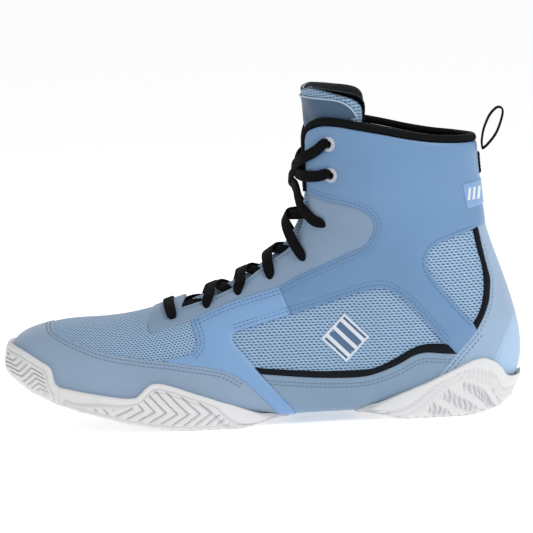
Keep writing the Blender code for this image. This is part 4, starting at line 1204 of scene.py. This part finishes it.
def tread(st, places, far):
    """Herringbone grooves on the flat underside."""
    fold = np.abs((places[:, 1] / 15) % 1 - 0.5) * 15
    grooves = -cut_line(places[:, 0] + fold, 5.2, 0.8)
    return grooves * smoothstep(below(st), 0.9, 1.0) * smoothstep(far, 3.0, 4.0)


def forefoot_grooves(st, places, far):
    """Chevrons that point back, and toe-ward ones in front of them."""
    x, z = places[:, 0], places[:, 2]
    up = z - ground_z(x)
    rise = up - 9.6
    pointing_back = np.where(rise > 0, x + rise, x - 1.4 * rise)
    pointing_toe = np.where(rise > 1, x - 1.6 * (rise - 1), x + 0.95 * (rise - 1))
    toward_heel = smoothstep(x, -86, -83)
    cuts = cut_line(pointing_back - 2.1, 6.3, 0.55) * toward_heel
    cuts += cut_line(pointing_toe, 6.3, 0.55) * (1 - toward_heel)
    depth = smoothstep(far, 3.4, 4.0) * smoothstep(up, 2.4, 3.2)
    second_rim = 0.4 * bell(far - 4.8, 0.35) * smoothstep(x, -66, -60)
    thinner = 1.7 * smoothstep(x, -4, 13)
    wall_groove = 0.35 * bell(up - 2.0, 0.4)
    return rim_lines(far) - second_rim - cuts * depth + tread(st, places, far) - wall_groove - thinner


def toe_grooves(st, places, far):
    """Close zigzag grooves round the toe."""
    x, z = places[:, 0], places[:, 2]
    around = x - 0.25 * np.abs(places[:, 1])
    zigzag = np.abs(((around + 0.35 * z) / 13) % 1 - 0.5) * 13
    cuts = cut_line(0.9 * z + 0.75 * zigzag, 2.6, 0.36)
    depth = smoothstep(far, 4.2, 4.8) * smoothstep(z - ground_z(x), 2.4, 3.2)
    return rim_lines(far) - 0.95 * cuts * depth + tread(st, places, far)


def heel_grooves(st, places, far):
    """Slanted bands of wavy ribs round the heel."""
    x, z = places[:, 0], places[:, 2]
    along = x + smoothstep(x, 118, 140) * (46 - np.abs(places[:, 1])) * 0.9
    band = ((along * 0.56 + z * 0.83) / 10.7) % 1
    in_band = smoothstep(band, 0.05, 0.12) * (1 - smoothstep(band, 0.62, 0.70))
    ribs = 0.5 + 0.5 * np.cos(math.tau * (along + 0.5 * np.sin(z * 0.9)) / 2.9)
    depth = smoothstep(far, 5.6, 6.4) * smoothstep(z - ground_z(x), 1.2, 2.0)
    second_rim = 0.25 * bell(far - 4.6, 0.35)
    thinner = 1.7 * (1 - smoothstep(x, 51, 68))
    return rim_lines(far) - second_rim - 0.85 * ribs**1.5 * in_band * depth + tread(st, places, far) - thinner


def rubber_face():
    """(s, t) and places all over the rubber's outer face, away from the flat underside."""
    s, t = np.meshgrid(np.linspace(0, KNOTS[16], 700), np.linspace(0.3, 0.999, 500))
    st = np.stack([s.ravel(), t.ravel()], 1)
    places = on_sole(st, np.full(len(st), RUBBER_HIGH))
    x = places[:, 0]
    wall = (st[:, 1] < 0.792) | (x > 105) | ((x > -2) & (x < 68) & (st[:, 1] < 0.9))
    return st[wall], places[wall]


def side_line(points, face):
    """Where the rubber's outer face shows along a side-view line."""
    st, places = face
    line = np.array([st[np.argmin((places[:, 0] - x) ** 2 + (places[:, 2] - z) ** 2)]
                     for x, z in smooth(points, 6)])
    for _ in range(2):
        line[1:-1] = (line[:-2] + 2 * line[1:-1] + line[2:]) / 4
    return line


def build_forefoot_sole(face):
    front = behind(straight((BUMPER_REAR, 26.3), (BUMPER_REAR, 22), (BUMPER_REAR, 18.5), side=1))
    front = np.vstack([front[:-1], [(base_s(x=BUMPER_REAR), 1.0)]])
    top = np.vstack([front[:1], side_line(FOREFOOT_SOLE, face)[2:]])
    rear = chord(top[-1], (base_s(x=15), 1.0))
    sole = Panel(over_base([front[::-1], top, rear]), RUBBER_LOW, RUBBER_HIGH, spacing=0.48, roll=0.5,
                 relief=forefoot_grooves, place=on_sole)
    sole.piece("forefoot_rubber", "rubber", ["forefoot_outsole"], weld=0.01, shade=True)


def build_heel_sole(face):
    back = np.stack([np.linspace(KNOTS[13], KNOTS[16], 200), np.ones(200)], 1)
    back_s = float(np.interp(22.3, on_sole(back, np.full(200, RUBBER_HIGH))[:, 2], back[:, 0]))
    top = np.vstack([side_line(HEEL_SOLE, face)[:-1], [(back_s, 1.0)]])
    front = chord(top[0], (base_s(x=50), 1.0))
    sole = Panel(over_base([front[::-1], top]), RUBBER_LOW, RUBBER_HIGH, spacing=0.7, roll=0.5,
                 relief=heel_grooves, place=on_sole)
    sole.piece("heel_rubber", "rubber", ["heel_outsole"], weld=0.01, shade=True)


def build_toe_bumper():
    ridge_s, edge = corner(-141, 49.3)[0], behind(run(TOE_BUMPER, side=1))
    down = behind(straight((BUMPER_REAR, 26.4), (BUMPER_REAR, 19), side=1))
    down = np.vstack([down, [(base_s(x=BUMPER_REAR), 1.0)]])
    corners = [(ridge_s, 2.0), (0.0, 2.0), (0.0, 0.0), (ridge_s, 0.0)]
    ridge = [chord(a, b) for a, b in zip(corners, corners[1:])]
    bumper = Panel(over_base([chord((ridge_s, 0.0), edge[0]), edge, down]) + ridge, RUBBER_LOW, RUBBER_HIGH,
                   spacing=0.7, roll=0.5, relief=toe_grooves, place=on_sole, open_edges=(6, 7, 8))
    bumper.piece("toe_rubber", "rubber", ["toe_bumper"], weld=0.02, cap=400, shade=True)


rubber = rubber_face()
build_forefoot_sole(rubber)
build_heel_sole(rubber)
build_toe_bumper()


def build_linings():
    """The black spacer mesh inside: quarters, collar and vamp, right round the back."""
    def cloth(node, outline, low, **settings):
        weld = settings.pop("weld", 0.0)
        lining = Panel(outline, LINING_HIGH, low, roll=0.0, **settings)
        lining.piece(f"{node}_cloth", "lining", [node], flip=True, weld=weld)

    throat, waist = run(LINING_THROAT, side=1), run(LINING_WAIST, side=1)
    waist = np.vstack([waist, [(base_s(z=100.2), 1.0)]])
    ring_s, tip = corner(-49.8, 68)[0], 0.02
    half = [waist[::-1], throat, chord(throat[-1], (ring_s, 0.03))]
    around = chord((ring_s, 0.03), (ring_s, 1.97))
    cloth("quarter_lining", half + [around] + over_base(half)[3:], -4.2, spacing=3.0)

    top = np.vstack([run(COLLAR_TOP[7::-1], side=1), [(base_s(z=COLLAR_BACK_Z), 1.0)]])
    cloth("collar_lining", over_base([waist[::-1], run(LINING_FRONT, side=1), top]), -4.3, spacing=2.2,
          relief=lambda st, places, far: -1.6 * bell(places[:, 2] - 136, 15) * np.clip(far / 12, 0, 1))

    corners = [(tip, 0.0), (ring_s, 0.0), (ring_s, 2.0), (tip, 2.0), (tip, 0.0)]
    cloth("vamp_lining", [chord(a, b) for a, b in zip(corners, corners[1:])], -4.2, spacing=4.0,
          open_edges=(0, 1, 2, 3), weld=0.02)


def sockliner_row(s, across):
    """Points across the sockliner at one station, with its edges against the lining."""
    x, _, z = skin([s], [1.0])[0]
    first, last = SECTIONS[3][2], SECTIONS[13][2]
    top = z + np.interp(x, (first, last), (12.6, 17.0))
    walls = []
    for side in (-1, 1):
        t = np.linspace(0.35, 1, 260)
        wall = lifted(np.stack([np.full(260, s), side * t], 1), np.full(260, -5.4))
        walls.append(wall[int(np.argmin(np.abs(wall[:, 2] - top)))])
    share = np.linspace(0, 1, across)
    line = walls[0] + (walls[1] - walls[0]) * share[:, None]
    line[:, 2] += (2 * share - 1) ** 4 * (2.2 if x > 40 else 0.8) - 0.8 * np.sin(share * math.pi) * (x > 60)
    return line


def build_sockliner():
    """A moulded insole with a raised rim that cups the heel."""
    stations, across, thickness = 70, 22, 3.2
    span = np.linspace(KNOTS[3] + 0.004, KNOTS[13] + 0.012, stations)
    top = np.vstack([sockliner_row(s, across) for s in span])
    points = np.vstack([top, top - (0, 0, thickness)])
    number = np.arange(stations * across).reshape(stations, across)
    faces = []
    for i in range(stations - 1):
        for j in range(across - 1):
            a, b, c, d = number[i, j], number[i, j + 1], number[i + 1, j + 1], number[i + 1, j]
            faces += [(a, d, c, b), tuple(k + len(top) for k in (a, b, c, d))]
    order = [*number[0], *number[1:, -1], *number[-1, -2::-1], *number[-2:0:-1, 0]]
    for a, b in zip(order, order[1:] + order[:1]):
        faces.append((a, b, b + len(top), a + len(top)))
    made = add_mesh("sockliner_pad", points, faces, "insole", points[:, :2] * 0.1)
    bevel = made.modifiers.new("soft_edge", "BEVEL")
    bevel.width, bevel.segments, bevel.limit_method = 0.9 * MM, 3, "ANGLE"
    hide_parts("sockliner")


def finish_hidden_parts():
    for node in HIDDEN_PARTS:
        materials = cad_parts[node].data.materials
        if not len(materials):
            materials.append(None)
        for i in range(len(materials)):
            materials[i] = FINISH["board" if node.endswith("board") else "foam"]


build_linings()
build_sockliner()
finish_hidden_parts()


def tongue_depth(st):
    """How deep the tongue's front lies: under the laces, rising to the edge of the collar at the top."""
    s, t = st.T
    deep = np.interp(s, KNOTS[[0, 7, 9, 18, 19, 20, 21]], [-6.0, -6.0, -7.9, -7.9, -5.4, -3.9, -2.2])
    along = smoothstep(s, KNOTS[7], KNOTS[8]) * (1 - smoothstep(s, KNOTS[18], KNOTS[20]))
    return deep + 3.6 * bell(t, 0.05) * along


def on_tongue(st, height):
    return lifted(st, tongue_depth(st) + np.reshape(height, -1))


def tongue_puff(rise, reach):
    """The padding of the tongue's top, which swells in from its edges."""
    return lambda st, places, far: rise * rounded(far, reach) * smoothstep(places[:, 2], 158, 176)


def bend_at_fold(piece):
    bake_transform(piece)
    return piece


def tongue_piece(half, low, high, name, finish, nodes, flip=False, **settings):
    """A layer of the tongue inside an outline that is open along the ridge."""
    layer = Panel(over_ridge(half), low, high, place=on_tongue, open_edges=(0, 2 * len(half) - 1), **settings)
    return bend_at_fold(layer.piece(name, finish, nodes, "round", body=None, flip=flip))


def build_tongue():
    low_s, top_s = corner(-57, 90)[0], 0.957

    def half(top):
        edge = run(TONGUE_SIDE + top)
        return [chord((low_s, 0), edge[0]), edge, chord(edge[-1], (top_s, 0))]

    front = tongue_piece(half(TONGUE_FRONT_TOP), -1.6, 0.0, "tongue_front", "tongue_mesh",
                         ["tongue_body", "tongue_top"], spacing=1.7, roll=0.8, relief=tongue_puff(0.9, 7))
    tongue_piece(half(TONGUE_BACK_TOP), 0.3, -2.6, "tongue_back", "lining", ["tongue_lining"], flip=True,
                 spacing=2.2, roll=0.0, relief=tongue_puff(-4.2, 6))

    top, low = run(FACING_TOP), run(FACING_LOW)
    ridge_top, ridge_low = corner(24, 182)[0], corner(24, 163.5)[0]
    tongue_piece([chord((ridge_low, 0), low[0]), low, top, chord(top[-1], (ridge_top, 0))], 0.2, 1.5,
                 "tongue_facing_patch", "facing", ["tongue_facing"], spacing=1.4, roll=0.4)
    line = resampled(np.vstack([top, [(ridge_top, 0)], mirrored(top)]), 1.2)
    piping = ribbon("tongue_piping", on_tongue(line, np.full(len(line), 1.55)), outward(*line.T), 1.0, 1.0,
                    "pale_piping", body=None, square=1.0, sides=8)
    bend_at_fold(piping)


build_tongue()


def throat_t(s):
    """The t of the edge of the throat at this s."""
    return float(np.interp(s, *on_side(THROAT[::-1] + COLLAR_EDGE[1:4], 1).T))


def crossing(row, over):
    """(s, t, distance) of the lace out of one row's hole, over the tongue and under the far eyestay."""
    (s0, t0), (s1, t1) = on_side(LACE_HOLES[row:row + 2], 1)
    ds, e0, e1 = s1 - s0, throat_t(s0), throat_t(s1)
    slack = 4.5 if row == BEND_ROW else 0.0
    top = 3.0 if row in RING_ROWS else 1.9
    steps = [(s0, t0 * 1.01, -3.5), (s0, t0, top - 1.6)]
    if row == RING_ROWS[0]:
        near, middle, far = on_side(RING_LACE[:2], 1), corner(*RING_LACE[2]), on_side(RING_LACE[3:], 1)
        steps += [
            (s0, t0 * 0.95, top), (*near[0], 3.2), (*near[1], 3.5), (middle[0], 0, 2.2 if over else 3.6),
            (far[0, 0], -far[0, 1], 3.6), (far[1, 0], -far[1, 1], 3.1), (s1, -t1 * 0.96, top),
            (s1, -t1, top - 1.6), (s1, -t1 * 1.01, -3.5)]
    elif row == RING_ROWS[0] - 1:
        near, middle = on_side(ANKLE_LACE[:3], 1), corner(*ANKLE_LACE[3])
        steps += [
            (s0, t0 * 0.95, top), (*near[0], 2.2), (*near[1], 3.0), (*near[2], 4.4),
            (middle[0], -0.01, 3.6 if over else 5.0), (s1 - 0.03, -e1 * 1.1, -1.0), (s1, -t1, LACE_INSIDE)]
    else:
        steps += [
            (s0 + 0.05 * ds, t0 * 0.92, top), (s0 + 0.17 * ds, e0 * 1.02, 2.5 + slack * 0.2),
            (s0 + 0.34 * ds, e0 * 0.5, 0.8 + slack * 0.7),
            (s0 + 0.52 * ds, 0.0, slack - (0.8 if over else 2.5)),
            (s0 + 0.70 * ds, -e1 * 0.55, -3.2 + slack * 0.5), (s0 + 0.86 * ds, -e1 * 0.98, -5.2),
            (s1, -t1, LACE_INSIDE)]
    return np.array(steps)


def along_edge():
    """The lace between the first two rows, seen along the edge of the throat."""
    (s0, t0), (s1, t1) = on_side(LACE_HOLES[:2], 1)
    edge = throat_t((s0 + s1) / 2)
    steps = [(s0, t0, LACE_INSIDE)]
    for share, t, distance in ((0.12, 0.94, -2.6), (0.4, 0.8, -1.2), (0.65, 0.8, -1.0), (0.9, 0.94, -2.6)):
        steps.append((s0 + share * (s1 - s0), edge * t, distance))
    return np.array(steps + [(s1, t1, LACE_INSIDE)])


def first_bar():
    """The lace straight across the lowest row, into the hole on each side."""
    s, t = corner(*LACE_HOLES[0])
    half = ((1, -3.5), (1, 0.5), (0.94, 2.1), (0.5, 2.0))
    return np.array([(s, u * t, d) for u, d in half + ((0, 1.7),)] + [(s, -u * t, d) for u, d in half[::-1]])


def tucked_end():
    """The lace from the outer side's last hole across to its end, inside the collar."""
    s, t = corner(*LACE_HOLES[-1])
    path = ((0, t), (0.025, 0.27), (0.05, 0.30))
    return np.array([(s, t, -3.5)] + [(s - back, at, LACE_INSIDE) for back, at in path])


def lace_stretch(steps, side, widths, into_hole):
    """Centre, facing and width of a stretch of lace; at a hole it turns down into it."""
    steps = steps * (1, side, 1)
    out, places = outward(*steps[:, :2].T), lifted(steps[:, :2], steps[:, 2])
    up = out.copy()
    for turns_down, end, inward in zip(into_hole, (1, -2), (1, -1)):
        if turns_down:
            ahead = places[end + inward] - places[end + 3 * inward]
            ahead -= out[end] * (ahead @ out[end])
            up[[end - inward, end]] = ahead / np.linalg.norm(ahead)
    path = smooth(np.column_stack([places, up, np.array(widths) * LACE_WIDTH]), 7)
    return path[:, :3], path[:, 3:6], path[:, 6]


def lace_stretches():
    into = (0.5, 0.62, 0.92)  # widths of the lace at a hole, as shares of the whole
    made = []
    for first in (-1, 1):
        made.append(lace_stretch(along_edge(), first, (0.6, 0.8, 0.9, 0.9, 0.8, 0.6), (False, False)))
        for row in range(1, RING_ROWS[0]):
            made.append(lace_stretch(crossing(row, (row % 2 == 0) == (first < 0)), first * (-1) ** row,
                                     into + (1.0, 1.0, 1.0, 0.95, 0.85, 0.6), (True, False)))
        row = RING_ROWS[0]
        made.append(lace_stretch(crossing(row, (row % 2 == 0) == (first < 0)), first * (-1) ** row,
                                 into + (1.0,) * 5 + into[::-1], (True, True)))
    made.append(lace_stretch(first_bar(), 1, into + (1, 1, 1) + into[::-1], (True, True)))
    for side in (1, -1):
        made.append(lace_stretch(tucked_end(), side, (0.5, 0.6, 0.7, 0.45), (False, False)))
    return made


def build_lace():
    """All stretches of the one lace, joined in one piece."""
    points, faces, uv = np.zeros((0, 3)), [], np.zeros((0, 2))
    for centre, up, width in lace_stretches():
        thick = LACE_THICK * (0.8 + 0.35 * (1 - width / LACE_WIDTH))
        band = swept_band(centre, up, width, thick, sides=16)
        faces += [tuple(corner_ + len(points) for corner_ in face) for face in band[1]]
        points, uv = np.vstack([points, band[0]]), np.vstack([uv, band[2]])
    lace = add_mesh("flat_lace", points, faces, "lace", uv, sharp=60)
    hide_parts("lace")


def build_aglet(side, word):
    """A lace end's tip: a tube with three crimps."""
    s_top = corner(*LACE_HOLES[-1])[0]
    route = np.array([(s_top - back, side * t) for back, t in AGLET_ROUTE])
    path = smooth(lifted(route, np.full(3, LACE_INSIDE)), 8)
    radius = 1.9 * (1 - 0.12 * np.abs(np.sin(np.linspace(0, 3 * math.pi, len(path)))))
    ribbon(f"lace_tip_{word}", path, np.repeat(outward(*route[1:2].T), len(path), 0), radius, radius,
           "plastic", square=1.0, nodes=[f"aglet_{word}"])


def build_rings(side, word):
    for row in RING_ROWS:
        at = corner(*LACE_HOLES[row], side)
        edge = ring_line(*at, RING_R, 40)
        ring = Panel([np.vstack([edge, edge[:1]])], 0.5, 2.1, spacing=0.6, roll=1.15,
                     holes=[ring_line(*at, RING_HOLE_R, 30)])
        ring.piece(f"eyelet_ring_moulded_{word}_{row + 1}", "ring",
                   [f"eyelet_ring_{word}_{row + 1}"])


def build_collar_edge():
    half = on_side(smooth(COLLAR_EDGE, 4))
    back_s = float(np.interp(BINDING_BACK_Z, (148, 172), KNOTS[20:22])) - 0.002
    line = np.vstack([half, [(back_s, -0.94), (back_s, -1.0), (back_s, 0.94)], mirrored(half)])
    places = smooth(lifted(line, np.full(len(line), BINDING_DEPTH)), 3)
    ribbon("collar_binding_tape", places, smooth(outward(*line.T), 3), 4.3, 5.2, "binding",
           square=0.85, nodes=["collar_binding"])


def box_line(low, high, half):
    """A closed box on the boot's back, between two s and as far as `half` from the middle line."""
    corners = [(low, 1 - half), (high, 1 - half), (high, 1 + half), (low, 1 + half), (low, 1 - half)]
    return [chord(a, b) for a, b in zip(corners, corners[1:])]


def build_pull_loop():
    low, high = base_s(z=LOOP_ANCHOR_Z[0]), base_s(z=LOOP_ANCHOR_Z[1])
    around = np.linspace(0.8, 1, 400)
    half = 1 - float(np.interp(-LOOP_WIDTH / 2, -skin(np.full(400, (low + high) / 2), around)[:, 1], around))
    anchor = Panel(box_line(low, high, half), 0.7, 1.9, spacing=0.9, roll=0.4, relief=over_cuff)
    anchor.piece("pull_loop_webbing", "webbing", ["pull_loop_anchor"], "round")
    margin = (high - low) * 0.1
    stitches("pull_loop_stitches", box_line(low + margin, high - margin, 0.8 * half), 1.95, "dark_thread",
             pitch=1.9, length=1.4, relief=over_cuff)
    outer = smooth(PULL_LOOP, 6)
    path = np.stack([outer[:, 0], np.zeros(len(outer)), outer[:, 1]], 1)
    ahead = np.gradient(path, axis=0)
    facing = np.stack([ahead[:, 2], np.zeros(len(outer)), -ahead[:, 0]], 1)
    ribbon("pull_loop_tape", path, facing, LOOP_WIDTH - 0.4, 1.1, "webbing", body="loop",
           square=0.35, nodes=["pull_loop"])


build_lace()
for side, word in SIDES:
    build_aglet(side, word)
    build_rings(side, word)
build_collar_edge()
build_pull_loop()


def closed_line(corners, side=-1):
    """Straight lines round the corners in side view, back to the first one."""
    return [straight(a, b, side=side) for a, b in zip(corners, [*corners[1:], corners[0]])]


def diamond(half):
    x, z = BADGE_CENTRE
    return closed_line([(x, z - half), (x + half, z), (x, z + half), (x - half, z)])


def build_badge():
    """A generic mark: a diamond ring with slanted bars, on the outer side."""
    field = Panel(diamond(BADGE_SIZE - 0.6), -0.7, 0.05, spacing=1.2, roll=0.2)
    field.piece("badge_field", "field")
    hole = np.vstack([line[:-1] for line in diamond(BADGE_SIZE - BADGE_BAND)])
    ring = Panel(diamond(BADGE_SIZE), -0.6, 0.75, spacing=0.8, roll=0.3, holes=[hole])
    ring.piece("badge_ring", "trim", ["side_badge"])
    along, across = np.array((0.7071, -0.7071)), np.array((0.7071, 0.7071))
    reach = BADGE_SIZE * 0.7071 - BADGE_BAND * 0.5
    for step in (-1, 0, 1):
        middle = np.array(BADGE_CENTRE) + 4.2 * step
        corners = [middle + along * a * reach + across * b * 1.1
                   for a, b in ((-1, -1), (1, -1), (1, 1), (-1, 1))]
        bar = Panel(closed_line(corners), -0.6, 0.7, spacing=0.7, roll=0.3,
                    relief=lambda st, places, far: -0.18 * cut_line(places[:, 0] - places[:, 2], 3.4, 0.3))
        bar.piece(f"badge_bar_{step + 2}", "trim")


def build_heel_patch():
    """A barred patch round the back of the shaft."""
    top = np.vstack([behind(straight(*HEEL_PATCH[1:], side=1)), [(base_s(z=131.4), 1.0)]])
    low = np.vstack([[(base_s(z=117.4), 1.0)], behind(straight(*HEEL_PATCH[:2], side=1))])
    patch = Panel(over_base([low, top]), 0.7, 1.5, spacing=1.2, roll=0.4, relief=over_cuff)
    patch.piece("heel_patch_panel", "strap", ["heel_patch"])
    for side, word in SIDES:
        for k in range(3):
            left = 118.2 + 2.6 * k
            corners = [(left, 120.5), (left + 1.3, 120.5), (left + 2.1, 127.5), (left + 0.8, 127.5)]
            bar = Panel(closed_line(corners, side), 0.9, 2.0, spacing=0.7, roll=0.25, relief=over_cuff)
            bar.piece(f"heel_patch_bar_{word}_{k + 1}", "trim")


build_badge()
build_heel_patch()


def stitch_group(name, lines, height, thread="pale_thread", relief=None):
    stitches(f"{name}_stitches", lines, height, thread, relief=relief)


def build_stitches():
    """Rows of thread beside the overlay edges."""
    top = guard_edge(TOE_GUARD_TOP[:12])
    stitch_group("toe_guard", paired([rows_in(top, -k) for k in STITCH_ROWS], mirrored), 0.45)
    stitch_group("eyestay", paired([rows_in(run(THROAT), 2.2)], mirrored), 0.72)
    seam, front = behind(straight(*COVER_LOW[2:], side=1)), behind(run(HEEL_PIPING_OUT[:7], side=1))
    cover_rows = [rows_in(seam, k) for k in COVER_ROWS] + [rows_in(front, 1.9)]
    stitch_group("heel_cover", paired(cover_rows, past_base), 0.58)
    for side, word in SIDES:
        window, stay_edge = run(WINDOW_TOP[2:], side), run(EYESTAY_LOW[6:], side)[::-1]
        rows = [rows_in(edge, -side * k) for edge in (window, stay_edge) for k in STITCH_ROWS]
        rows += [rows_in(run(HEEL_WINDOW, side), -side * HEEL_ROW)]
        stitch_group(f"ankle_cuff_{word}", rows, 0.8, "thread", padded_cuff)
        edges = (SADDLE_FRONT[2:], SADDLE_FRONT[-1:] + EYESTAY_LOW[5:7], WINDOW_TOP[2::-1])
        rows = [rows_in(run(edge, side), side * k) for edge in edges for k in STITCH_ROWS]
        stitch_group(f"saddle_strap_{word}", rows, 0.8, "thread", saddle_seam)
        low_piping = run(PIPING_LOW, side)
        stitch_group(f"lower_quarter_{word}", [rows_in(low_piping, side * k) for k in QUARTER_ROWS], 0.42)


build_stitches()
